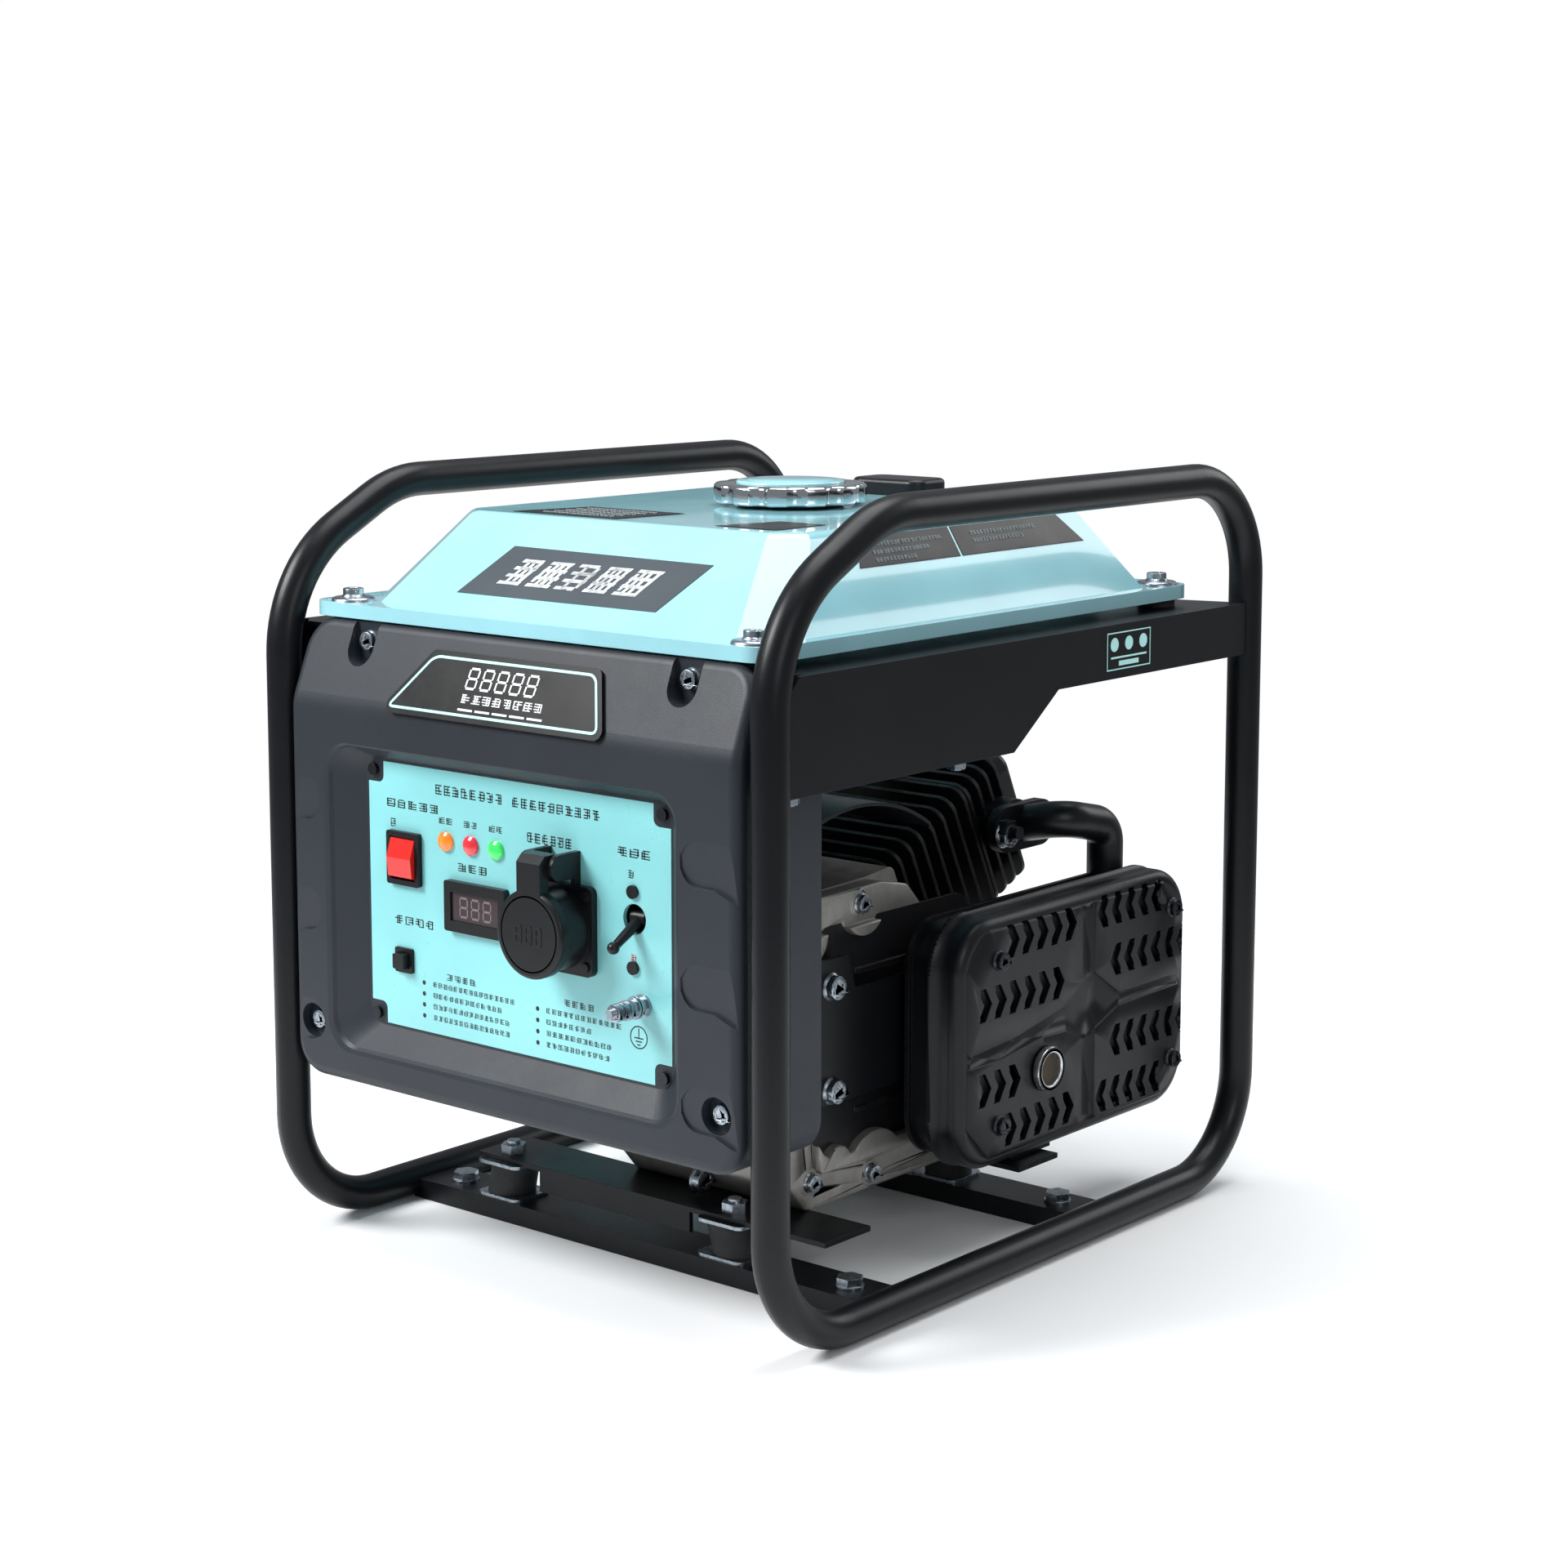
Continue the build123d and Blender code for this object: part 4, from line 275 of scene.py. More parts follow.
def zinc_plate(name):
    """Blue-white zinc with cloudy spangle."""
    look = Finish(name)
    soft = look.edges(0.3 * MM)
    cells = look.node("ShaderNodeTexVoronoi", {}, {"Vector": look.place, "Scale": 420.0}, "Color")
    value = look.node("ShaderNodeSeparateColor", {}, {0: cells})
    tint = look.mix(value * 0.5, linear("a9b2ba"), linear("7f8a94"))
    tint = look.mix(look.between(look.noise(160.0, 3.0), 0.5, 0.75) * 0.5, tint, linear("5f686e"))
    sheen = 0.24 + value * 0.14 + (look.noise(500.0, 2.0) - 0.5) * 0.12
    return look.surface(tint, sheen, look.bump(look.noise(1100.0, 2.0), 0.01 * MM, soft), metal=1.0)


def lens(name, colour):
    """Ribbed tinted plastic over a small bulb."""
    look = Finish(name)
    rings = look.noise(700.0, 1.0)
    glow = look.between(look.noise(260.0, 2.0), 0.35, 0.7)
    base = look.mix(glow, scaled(colour, 0.8), scaled(colour, 1.25))
    sheen = 0.1 + rings * 0.08
    return look.surface(base, sheen, look.bump(rings, 0.02 * MM), IOR=1.5, Coat_Weight=0.6,
                        Emission_Color=(*colour, 1.0), Emission_Strength=0.35)


def rubber(name, colour=(0.016, 0.017, 0.018), rough=0.7):
    look = Finish(name)
    soft = look.edges(0.7 * MM)
    bloom = look.between(look.noise(60.0, 4.0, 0.65), 0.45, 0.8)
    pores = look.noise(1300.0, 2.0)
    base = look.mix(bloom * 0.5, colour, scaled(tuple(c + 0.01 for c in colour), 1.8))
    return look.surface(base, rough + (pores - 0.5) * 0.2, look.bump(pores, 0.03 * MM, soft))


def copper_winding(name):
    """Varnished wire wound in close turns."""
    look = Finish(name)
    turns = look.node("ShaderNodeTexWave", {"bands_direction": "X"},
                      {"Vector": look.place, "Scale": 320.0, "Distortion": 0.4})
    base = look.mix(turns, linear("5c2c14"), linear("c07a44"))
    return look.surface(base, 0.32 + turns * 0.1, look.bump(turns, 0.25 * MM), metal=0.7)


def make_finishes():
    paint = colours()
    FINISHES.update({
        "frame_steel": coated("frame_powder_coat", tuple(paint.frame), 0.34, 900.0, 0.03 * MM,
                              worn=0.15, Specular_IOR_Level=0.25),
        "tank_paint": coated("tank_enamel", tuple(paint.tank), 0.2, 260.0, 0.012 * MM, worn=0.15,
                             Coat_Weight=0.8, Coat_Roughness=0.06),
        "fascia_plastic": coated("fascia_grain", tuple(paint.fascia), 0.46, 1500.0, 0.05 * MM,
                                 worn=0.1, Specular_IOR_Level=0.35),
        "panel_mint": coated("panel_sheet", tuple(paint.panel), 0.3, 500.0, 0.008 * MM, worn=0.1,
                             Coat_Weight=0.3, Coat_Roughness=0.2),
        "zinc": zinc_plate("zinc_plate"),
        "black_screw": bare_metal("black_oxide", linear("3a3c40"), 0.34),
        "black_plastic": coated("black_moulding", linear("121316"), 0.34, 1300.0, 0.03 * MM, worn=0.15,
                                Specular_IOR_Level=0.3),
        "red_plastic": coated("red_moulding", linear("d8231c"), 0.22, 500.0, 0.01 * MM, worn=0.1,
                              Coat_Weight=0.4, Coat_Roughness=0.1),
        "amber_lens": lens("amber_lens", linear("f07a1e")),
        "red_lens": lens("red_lens", linear("d42a34")),
        "green_lens": lens("green_lens", linear("35d860")),
        "meter_glass": coated("meter_window", linear("3a3033"), 0.12, 300.0, 0.004 * MM, worn=0.0),
        "badge_print": coated("badge_sheet", linear("08090b"), 0.3, 400.0, 0.01 * MM, worn=0.0,
                              Specular_IOR_Level=0.3),
        "rubber": rubber("rubber"),
        "cast_metal": cast_metal("die_casting", tuple(paint.casting), 0.42),
        "black_metal": coated("heat_paint", tuple(paint.heat_black), 0.36, 1100.0, 0.035 * MM, worn=0.2,
                              Specular_IOR_Level=0.3),
        "rotating_steel": bare_metal("turned_steel", linear("b9bbbd"), 0.24, (0.2, 2.0, 2.0)),
        "cast_black": coated("fin_casting", linear("0e0f12"), 0.42, 600.0, 0.06 * MM,
                             edge=0.7 * MM, worn=1.0, Specular_IOR_Level=0.4),
        "copper": copper_winding("wound_copper"),
        "blower_cyan": coated("blower_enamel", linear("6cc3cd"), 0.26, 300.0, 0.015 * MM, worn=0.2,
                              Coat_Weight=0.6, Coat_Roughness=0.08),
        "chrome": bare_metal("bright_chrome", linear("c9cdd0"), 0.1, stain=0.12, depth=0.004 * MM),
        "orange_plastic": coated("orange_moulding", linear("e2661c"), 0.3, 900.0, 0.02 * MM, worn=0.15),
        "exhaust_steel": coated("exhaust_paint", tuple(paint.heat_black), 0.36, 800.0, 0.04 * MM,
                                worn=0.2, Specular_IOR_Level=0.3),
        "ceramic": coated("glazed_ceramic", linear("e9e6de"), 0.12, 300.0, 0.006 * MM, worn=0.0,
                          Coat_Weight=0.7, Coat_Roughness=0.05),
        "ink": printed("dark_print", tuple(paint.ink)),
        "red_ink": printed("red_print", tuple(paint.red_ink)),
        "white_ink": printed("white_print", linear("eef1f2"), 0.34),
        "mint_ink": printed("mint_print", linear("b9f2ee"), 0.34),
        "grey_ink": printed("grey_print", linear("3a4249"), 0.4),
        "pale_ink": printed("pale_print", linear("98a3a6")),
        "digit": coated("dim_digit", linear("75686c"), 0.3, 900.0, 0.004 * MM, worn=0.0),
        "bright_ring": bare_metal("outlet_steel", linear("d7dadc"), 0.28),
        "mesh_wire": bare_metal("spark_mesh", linear("6f665c"), 0.5),
    })


# ---- Modelling helpers ----
def deselect():
    bpy.ops.object.select_all(action="DESELECT")


def only(piece):
    """Makes this object the one selected and active."""
    deselect()
    piece.select_set(True)
    bpy.context.view_layer.objects.active = piece


@contextmanager
def editing(piece):
    """Edit mode on the piece."""
    only(piece)
    bpy.ops.object.mode_set(mode="EDIT")
    yield
    bpy.ops.object.mode_set(mode="OBJECT")


def pick(test, kind="FACE"):
    """Selects the faces, edges or vertices that pass the test; in edit mode."""
    bpy.ops.mesh.select_mode(type=kind)
    bpy.ops.mesh.select_all(action="DESELECT")
    mesh = bpy.context.edit_object.data
    shape = bmesh.from_edit_mesh(mesh)
    for part in {"FACE": shape.faces, "EDGE": shape.edges, "VERT": shape.verts}[kind]:
        part.select_set(bool(test(part)))
    shape.select_flush_mode()
    bmesh.update_edit_mesh(mesh)


def facing(way, limit=0.9):
    return lambda face: face.normal.dot(way) > limit


def sharp(limit=0.5):
    """Edges between two faces that meet at more than this angle."""
    return lambda edge: len(edge.link_faces) == 2 and edge.calc_face_angle(0.0) > limit


def applied():
    """Applies place, turn and size of the active object, and returns it."""
    bpy.ops.object.transform_apply(location=True, rotation=True, scale=True)
    return bpy.context.object


AXIS_TURN = {"X": (0, pi / 2, 0), "Y": (pi / 2, 0, 0), "Z": (0, 0, 0)}


def new_block(low, high):
    deselect()
    low, high = Vector(low), Vector(high)
    bpy.ops.mesh.primitive_cube_add(size=1, location=(low + high) / 2, scale=high - low)
    return applied()


def new_rod(radius, start, end, at, axis="Z", vertices=48):
    """Closed round bar along an axis, from start to end, at the other two coordinates."""
    deselect()
    place = {"X": ((start + end) / 2, *at), "Y": (at[0], (start + end) / 2, at[1]),
             "Z": (*at, (start + end) / 2)}[axis]
    bpy.ops.mesh.primitive_cylinder_add(vertices=vertices, radius=radius, depth=abs(end - start),
                                        location=place, rotation=AXIS_TURN[axis])
    return applied()


def bevel_edges(piece, width, segments=3, limit=0.5):
    with editing(piece):
        pick(sharp(limit), "EDGE")
        bpy.ops.mesh.bevel(offset=width, segments=segments, affect="EDGES")
    return piece


def round_top(piece, width, segments):
    """Rounds the edges of the faces that look up."""
    with editing(piece):
        pick(facing(Z_AXIS))
        bpy.ops.mesh.bevel(offset=width, segments=segments, affect="EDGES")


def modify(piece, kind, **settings):
    """Adds a modifier and applies it."""
    only(piece)
    tool = piece.modifiers.new(kind.lower(), kind)
    for key, value in settings.items():
        setattr(tool, key, value)
    bpy.ops.object.modifier_apply(modifier=tool.name)
    return piece


def carve(piece, cutter, operation="DIFFERENCE"):
    modify(piece, "BOOLEAN", operation=operation, object=cutter, solver="EXACT")
    bpy.data.objects.remove(cutter, do_unlink=True)
    return piece


def copies(master, matrices):
    """Copies of a shape at each place, joined into one object; the master is used up."""
    made = []
    for matrix in matrices:
        twin = master.copy()
        twin.data = master.data.copy()
        twin.data.transform(matrix)
        bpy.context.scene.collection.objects.link(twin)
        made.append(twin)
    bpy.data.objects.remove(master, do_unlink=True)
    return joined(made)


def joined(parts):
    deselect()
    for part in parts:
        part.select_set(True)
    bpy.context.view_layer.objects.active = parts[0]
    if len(parts) > 1:
        bpy.ops.object.join()
    return bpy.context.object


def patch(corners, across=1, up=1):
    """Flat grid stretched between four corners: low left, low right, high right, high left."""
    deselect()
    bpy.ops.mesh.primitive_grid_add(x_subdivisions=across, y_subdivisions=up, size=1)
    piece = applied()
    low_left, low_right, high_right, high_left = (Vector(c) for c in corners)
    for vertex in piece.data.vertices:
        right, rise = vertex.co.x + 0.5, vertex.co.y + 0.5
        vertex.co = low_left.lerp(low_right, right).lerp(high_left.lerp(high_right, right), rise)
    return piece


def bars(place, marks):
    """Flat bars (x, y, width, height) in a plane given by a turn, as one sheet."""
    deselect()
    bpy.ops.mesh.primitive_plane_add(size=1, location=(0, 0, 0))
    return copies(applied(), [
        place @ Matrix.Translation((x, y, 0)) @ Matrix.Diagonal((wide, tall, 1, 1))
        for x, y, wide, tall in marks])


def plane_of(across, up, origin=(0, 0, 0), slant=0.0):
    """Turn that takes a sheet's x and y to two directions; slant leans its y along its x."""
    across, up = Vector(across), Vector(up)
    lean = up + across * slant
    out = across.cross(up)
    origin = Vector(origin)
    return Matrix([(across[i], lean[i], out[i], origin[i]) for i in range(3)] + [(0, 0, 0, 1)])


def thicken(piece, thickness):
    """Gives a sheet its thickness, half to each side."""
    return modify(piece, "SOLIDIFY", thickness=thickness, offset=0.0)


def laid(piece, node, axis, lift):
    """Lays a sheet on a carried-over part, looking along one axis, and thickens it."""
    only(piece)
    tool = piece.modifiers.new("lay", "SHRINKWRAP")
    tool.target = frame["nodes"][node]
    tool.wrap_method = "PROJECT"
    setattr(tool, f"use_project_{axis.lower()}", True)
    tool.use_negative_direction = True
    tool.use_positive_direction = True
    tool.offset = lift
    bpy.ops.object.modifier_apply(modifier=tool.name)
    return thicken(piece, lift)


def settle(piece, name, body, slot, finish=None, replaces=(), smooth=35):
    """Names the piece, gives it its finish and ties it to its body."""
    only(piece)
    bpy.ops.object.shade_smooth_by_angle(angle=radians(smooth))
    piece.name = name
    piece.data.name = name
    piece.data.materials.clear()
    piece.data.materials.append(FINISHES[finish or slot])
    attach(piece, body)
    if replaces:
        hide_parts(*replaces)
    return piece


def towards(way):
    """Turn that takes +Z to the given direction."""
    return Vector(way).to_track_quat("Z", "Y").to_matrix().to_4x4()


def islands(node):
    """Boxes (low, high) of a node's separate pieces."""
    shape = bmesh.new()
    shape.from_mesh(frame["nodes"][node].data)
    bmesh.ops.remove_doubles(shape, verts=shape.verts, dist=0.00001)
    left = set(shape.verts)
    found = []
    while left:
        stack = [left.pop()]
        group = list(stack)
        while stack:
            for edge in stack.pop().link_edges:
                for vertex in edge.verts:
                    if vertex in left:
                        left.remove(vertex)
                        stack.append(vertex)
                        group.append(vertex)
        low = Vector([min(v.co[i] for v in group) for i in range(3)])
        high = Vector([max(v.co[i] for v in group) for i in range(3)])
        found.append((low, high))
    shape.free()
    return sorted(found, key=lambda pair: tuple(pair[0]))


# ---- Stage ----
# name, place, diameter and power of each light
SOFTBOXES = (
    ("key_softbox", (-1.5, -2.1, 2.3), 1.5, 140.0),
    ("side_softbox", (2.4, -1.1, 1.3), 1.2, 11.0),
    ("top_softbox", (0.1, 0.4, 2.6), 2.2, 62.0),
    ("back_softbox", (0.9, 2.6, 1.6), 1.6, 20.0),
)


def make_floor():
    """Paper disc that fades out into the white around it."""
    deselect()
    bpy.ops.mesh.primitive_circle_add(vertices=96, radius=1.6, fill_type="NGON",
                                      location=(0, 0, -0.2 * MM))
    floor = applied()
    floor.name = "studio_floor"
    look = Finish("studio_paper")
    grain = look.noise(6.0, 3.0)
    base = look.mix(grain, linear("f4f5f6"), linear("f9fafb"))
    reach = look.node("ShaderNodeVectorMath", {"operation": "LENGTH"}, {0: look.place}, "Value")
    solid = 1.0 - look.between(reach, 0.5, 1.35)
    floor.data.materials.append(
        look.surface(base, 0.7 + grain * 0.1, look.bump(grain, 0.02 * MM), Alpha=solid))


def make_air():
    """White surroundings for the camera, and a dimmer sky that lights the machine."""
    world = bpy.data.worlds.new("studio_air")
    world.use_nodes = True
    tree = world.node_tree
    sky = tree.nodes["Background"]
    sky.inputs["Color"].default_value = (0.9, 0.95, 1.0, 1.0)
    sky.inputs["Strength"].default_value = 0.3
    white = tree.nodes.new("ShaderNodeBackground")
    white.inputs["Color"].default_value = (1.0, 1.0, 1.0, 1.0)
    path = tree.nodes.new("ShaderNodeLightPath")
    choice = tree.nodes.new("ShaderNodeMixShader")
    tree.links.new(path.outputs["Is Camera Ray"], choice.inputs[0])
    tree.links.new(sky.outputs[0], choice.inputs[1])
    tree.links.new(white.outputs[0], choice.inputs[2])
    tree.links.new(choice.outputs[0], tree.nodes["World Output"].inputs["Surface"])
    bpy.context.scene.world = world


def make_lights():
    middle = (cad_box[0] + cad_box[1]) / 2
    for name, place, size, power in SOFTBOXES:
        deselect()
        bpy.ops.object.light_add(type="AREA", location=place)
        lamp = bpy.context.object
        lamp.name = name
        lamp.data.shape = "DISK"
        lamp.data.size = size
        lamp.data.energy = power
        lamp.rotation_euler = (middle - Vector(place)).to_track_quat("-Z", "Y").to_euler()


def make_camera():
    bpy.ops.object.camera_add(location=(1.1385, -1.3427, 0.5650),
                              rotation=(radians(82.39), 0, radians(40.03)))
    camera = bpy.context.object
    camera.name = "main_camera"
    camera.data.lens = 69.85
    camera.data.sensor_width = 36.0
    camera.data.shift_y = -0.08
    bpy.context.scene.camera = camera
    bpy.context.scene.view_settings.view_transform = "Standard"


# ---- Carried-over parts ----
def dress_carried_parts():
    slot_of = {row["node"]: row["material_slot"] for row in frame["record"]["subparts"]}
    for name, node in frame["nodes"].items():
        node.data.materials.clear()
        node.data.materials.append(FINISHES[slot_of[name]])


# ---- Fasteners ----
HEAD_HEIGHT = 0.7  # of a hexagon head, as a share of its thread's size


def hex_head(size, flange=True):
    """Hexagon head that stands on z = 0 for a thread of this size, with a dished top."""
    width, height = size * 1.65, size * HEAD_HEIGHT
    deselect()
    bpy.ops.mesh.primitive_cylinder_add(vertices=6, radius=width / 2 / cos(pi / 6), depth=height,
                                        location=(0, 0, height / 2), rotation=(0, 0, radians(12)))
    head = applied()
    crown = new_rod(width / 2 * 1.04, -MM, height, (0, 0), vertices=36)
    round_top(crown, size * 0.09, 2)
    carve(head, crown, "INTERSECT")
    with editing(head):
        pick(lambda face: face.normal.z > 0.95 and face.calc_area() > width * width * 0.3)
        bpy.ops.mesh.inset(thickness=size * 0.12)
        bpy.ops.mesh.inset(thickness=size * 0.05, depth=-size * 0.05)
    parts = [head]
    if flange:
        skirt = new_rod(size, 0.0, size * 0.2, (0, 0), vertices=36)
        with editing(skirt):
            pick(facing(Z_AXIS))
            bpy.ops.transform.resize(value=(0.86, 0.86, 1.0), center_override=(0, 0, 0))
            bpy.ops.mesh.bevel(offset=size * 0.04, segments=2, affect="EDGES")
        parts.append(skirt)
    return joined(parts)


def threaded_bar(radius, length, pitch):
    """Round bar on +Z with ring-shaped thread crests."""
    rings = [new_rod(radius * 0.86, 0.0, length, (0, 0), vertices=24)]
    for turn in range(max(int(length / pitch), 1)):
        deselect()
        bpy.ops.mesh.primitive_torus_add(
            major_segments=24, minor_segments=6, major_radius=radius * 0.86,
            minor_radius=radius * 0.14, location=(0, 0, (turn + 0.5) * pitch))
        rings.append(applied())
    return joined(rings)


def make_box_screws():
    """Flanged screws of the control box."""
    head_height = 4.2 * MM
    screws = [(low.y, high.y, (low + high) / 2) for low, high in islands("fascia_screws")]
    parts = [copies(hex_head(6 * MM), [
        Matrix.Translation((middle.x, front + head_height, middle.z)) @ towards(-Y_AXIS)
        for front, _, middle in screws])]
    for front, back, middle in screws:
        parts.append(new_rod(3 * MM, front + 4 * MM, back, (middle.x, middle.z), "Y", 24))
    settle(joined(parts), "box_screws", "chassis", "zinc", replaces=["fascia_screws"])


def make_engine_bolts():
    """Bolts of the engine, and dark ones with shanks that hold the exhaust guard."""
    guard_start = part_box("muffler_body")[0].x + 20 * MM
    on_engine, on_guard, shanks = [], [], []
    for low, high in islands("engine_bolts"):
        middle = (low + high) / 2
        guard = low.x > guard_start
        size = 6 * MM if guard else (high.z - low.z) / 2
        seat = Vector((high.x - size * HEAD_HEIGHT, middle.y, middle.z))
        if guard:
            shanks.append(new_rod(5 * MM, low.x, seat.x, (middle.y, middle.z), "X", 24))
        group = on_guard if guard else on_engine
        group.append((round(size, 4), Matrix.Translation(seat) @ towards(X_AXIS)))
    for name, finish, bolts, more, replaced in (
            ("engine_fixings", "zinc", on_engine, [], ["engine_bolts"]),
            ("guard_fixings", "black_screw", on_guard, shanks, [])):
        heads = [copies(hex_head(size), [place for own, place in bolts if own == size])
                 for size in sorted({own for own, _ in bolts})]
        settle(joined(heads + more), name, "chassis", "zinc", finish, replaces=replaced)


def make_tank_fixings():
    """The tank's bolts on their domed washers, with a nut below each."""
    size = 8 * MM
    parts, heads = [], []
    for low, high in islands("tank_bolts"):
        middle = (low + high) / 2
        top = high.z - size * HEAD_HEIGHT
        washer = new_rod(12.5 * MM, top - 3.2 * MM, top, (middle.x, middle.y))
        round_top(washer, 2.6 * MM, 5)
        shank = new_rod(4 * MM, low.z, top, (middle.x, middle.y), vertices=24)
        nut = hex_head(size, flange=False)
        nut.data.transform(Matrix.Translation((middle.x, middle.y, low.z + MM)))
        parts += [washer, shank, nut]
        heads.append(Matrix.Translation((middle.x, middle.y, top)))
    parts.append(copies(hex_head(0.85 * size), heads))
    settle(joined(parts), "tank_fixings", "chassis", "zinc", replaces=["tank_bolts"])


# ---- Filler cap ----
def make_filler_cap():
    """Chrome rim with shallow lobes round a raised mint disc."""
    low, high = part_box("fuel_cap")
    x, y = (low.x + high.x) / 2, (low.y + high.y) / 2
    radius = (high.x - low.x) / 2
    lobes, lobe_reach = 12, radius + 7.0 * MM
    rim_top = high.z - 2 * MM
    disc_floor = rim_top - 1.2 * MM
    rim = new_rod(radius, low.z, rim_top, (x, y), vertices=144)
    cutter = new_rod(9.5 * MM, low.z - MM, rim_top + MM, (0, 0), vertices=40)
    turns = [tau / lobes * (number + 0.5) for number in range(lobes)]
    carve(rim, copies(cutter, [
        Matrix.Translation((x + lobe_reach * cos(turn), y + lobe_reach * sin(turn), 0))
        for turn in turns]))
    with editing(rim):
        pick(lambda face: abs(face.normal.z) > 0.9)
        bpy.ops.mesh.region_to_loop()
        bpy.ops.mesh.bevel(offset=2.2 * MM, segments=4, affect="EDGES")
    carve(rim, new_rod(32.5 * MM, disc_floor, rim_top + 2 * MM, (x, y), vertices=96))
    carve(rim, new_rod(31.8 * MM, low.z - MM, rim_top - 3 * MM, (x, y), vertices=64))
    settle(rim, "cap_rim", "cap_shell", "chrome", replaces=["fuel_cap"])
    disc = new_rod(31.6 * MM, disc_floor, high.z - 0.4 * MM, (x, y), vertices=96)
    with editing(disc):
        pick(facing(Z_AXIS))
        bpy.ops.mesh.bevel(offset=1.2 * MM, segments=4, affect="EDGES")
        pick(lambda face: face.normal.z > 0.99 and face.calc_area() > 0.0002)
        bpy.ops.mesh.inset(thickness=5 * MM)
        bpy.ops.mesh.inset(thickness=0.8 * MM, depth=0.4 * MM)
    settle(disc, "cap_disc", "cap_shell", "tank_paint")


# ---- Print on the panel ----
def stroke_row(x, z, width, height, cells, rng):
    """Strokes (x, z, width, height) without meaning, in groups that stand for a line of print."""
    strokes = []
    pitch = width / cells
    for cell in range(cells):
        left = x - width / 2 + cell * pitch
        wide = pitch * rng.uniform(0.7, 0.82)
        for level in (0.42, 0.14, -0.14, -0.42):
            part = wide * rng.choice((1.0, 0.85, 0.6))
            shift = (wide - part) * rng.choice((0.0, 0.5, 1.0))
            strokes.append((left + shift + part / 2, z + level * height, part, height * 0.12))
        for share in rng.sample((0.1, 0.35, 0.6, 0.9), 2):
            strokes.append((left + wide * share, z, wide * 0.13, height * rng.uniform(0.6, 0.95)))
    return strokes


def flat_marks(name, strips, finish, discs=(), rings=()):
    """Thin printed strips (x, z, width, height), dots and rings on the panel's face."""
    lift = sizes().print_lift
    unit = new_block((-0.5, -0.5, -0.5), (0.5, 0.5, 0.5))
    parts = [copies(unit, [
        Matrix.LocRotScale((x, panel_face - lift / 2, z), None, (wide, lift, tall))
        for x, z, wide, tall in strips])]
    for x, z, radius in discs:
        parts.append(new_rod(radius, panel_face - lift, panel_face, (x, z), "Y", 16))
    for x, z, radius, line in rings:
        ring = new_rod(radius, panel_face - lift, panel_face, (x, z), "Y", 40)
        carve(ring, new_rod(radius - line, panel_face - MM, panel_face + MM, (x, z), "Y", 40))
        parts.append(ring)
    settle(joined(parts), name, "chassis", "panel_mint", finish)


def make_panel_print():
    """Captions, lines of notes with their dots, and the earth sign.

    Places are millimetres, across from the panel's middle and up from a line 211.3 mm below it.
    """
    rng = random.Random(7)
    x0, z0 = panel_mid.x, panel_mid.z - 211.3 * MM
    dark, red, dots = [], [], []

    def row(x, z, width, height, cells, into):
        into += stroke_row(x0 + x * MM, z0 + z * MM, width * MM, height * MM, cells, rng)

    row(-33.5, 274.4, 53, 5.6, 8, dark)
    row(32.0, 274.2, 66, 5.4, 10, dark)
    row(-77.5, 263.0, 43, 4.8, 5, dark)
    row(-93.6, 252.0, 5, 4.8, 1, dark)
    row(-92.6, 226.0, 5, 4.8, 1, red)
    for x in (-51.8, -32.4, -13.1):
        row(x, 257.6, 11.5, 3.6, 2, dark)
    row(-31.0, 233.4, 24, 4.6, 3, dark)
    row(27.0, 256.6, 34, 5.6, 6, dark)
    row(88.5, 257.6, 25, 5.0, 3, dark)
    row(86.0, 246.4, 5, 4.4, 1, dark)
    row(87.5, 202.0, 5, 4.4, 1, red)
    row(-77.5, 197.6, 33, 4.8, 4, dark)
    row(-41.0, 170.4, 24, 3.6, 4, dark)
    row(48.0, 170.6, 23, 3.6, 4, dark)
    for line, (left, right) in enumerate(((64, 66), (54, 40), (60, 58), (60, 56))):
        z = 164.6 - line * 6.2
        row(-64 + left / 2, z, left, 2.9, left // 4, dark)
        dots.append((x0 - 71.3 * MM, z0 + z * MM, 1.3 * MM))
        row(23 + right * 0.84 / 2, z - 0.5, right * 0.84, 2.9, right // 5, dark)
        dots.append((x0 + 16.5 * MM, z0 + (z - 0.5) * MM, 1.3 * MM))
    earth_x, earth_z = x0 + 90.1 * MM, z0 + 160.6 * MM
    for offset, wide in ((-0.4, 6.4), (-2.2, 4.4), (-4.0, 2.2)):
        dark.append((earth_x, earth_z + offset * MM, wide * MM, 0.7 * MM))
    dark.append((earth_x, earth_z + 2.4 * MM, 0.7 * MM, 5.0 * MM))
    flat_marks("panel_print_dark", dark, "ink", dots, [(earth_x, earth_z, 6.2 * MM, 0.7 * MM)])
    flat_marks("panel_print_red", red, "red_ink")


# ---- Badge ----
# the seven bars of a figure: place across, place up, width and height, as shares of its size
SEGMENTS = ((0.5, 1.0, 0.8, 0.12), (0.5, 0.5, 0.8, 0.12), (0.5, 0.0, 0.8, 0.12),
            (0.04, 0.75, 0.14, 0.4), (0.96, 0.75, 0.14, 0.4),
            (0.04, 0.25, 0.14, 0.4), (0.96, 0.25, 0.14, 0.4))


def figure_bars(x, y, wide, tall):
    """Bars of a seven-bar figure with every bar drawn, about its middle."""
    return [(x + (along - 0.5) * wide, y + (rise - 0.5) * tall, share * wide, height * tall)
            for along, rise, share, height in SEGMENTS]


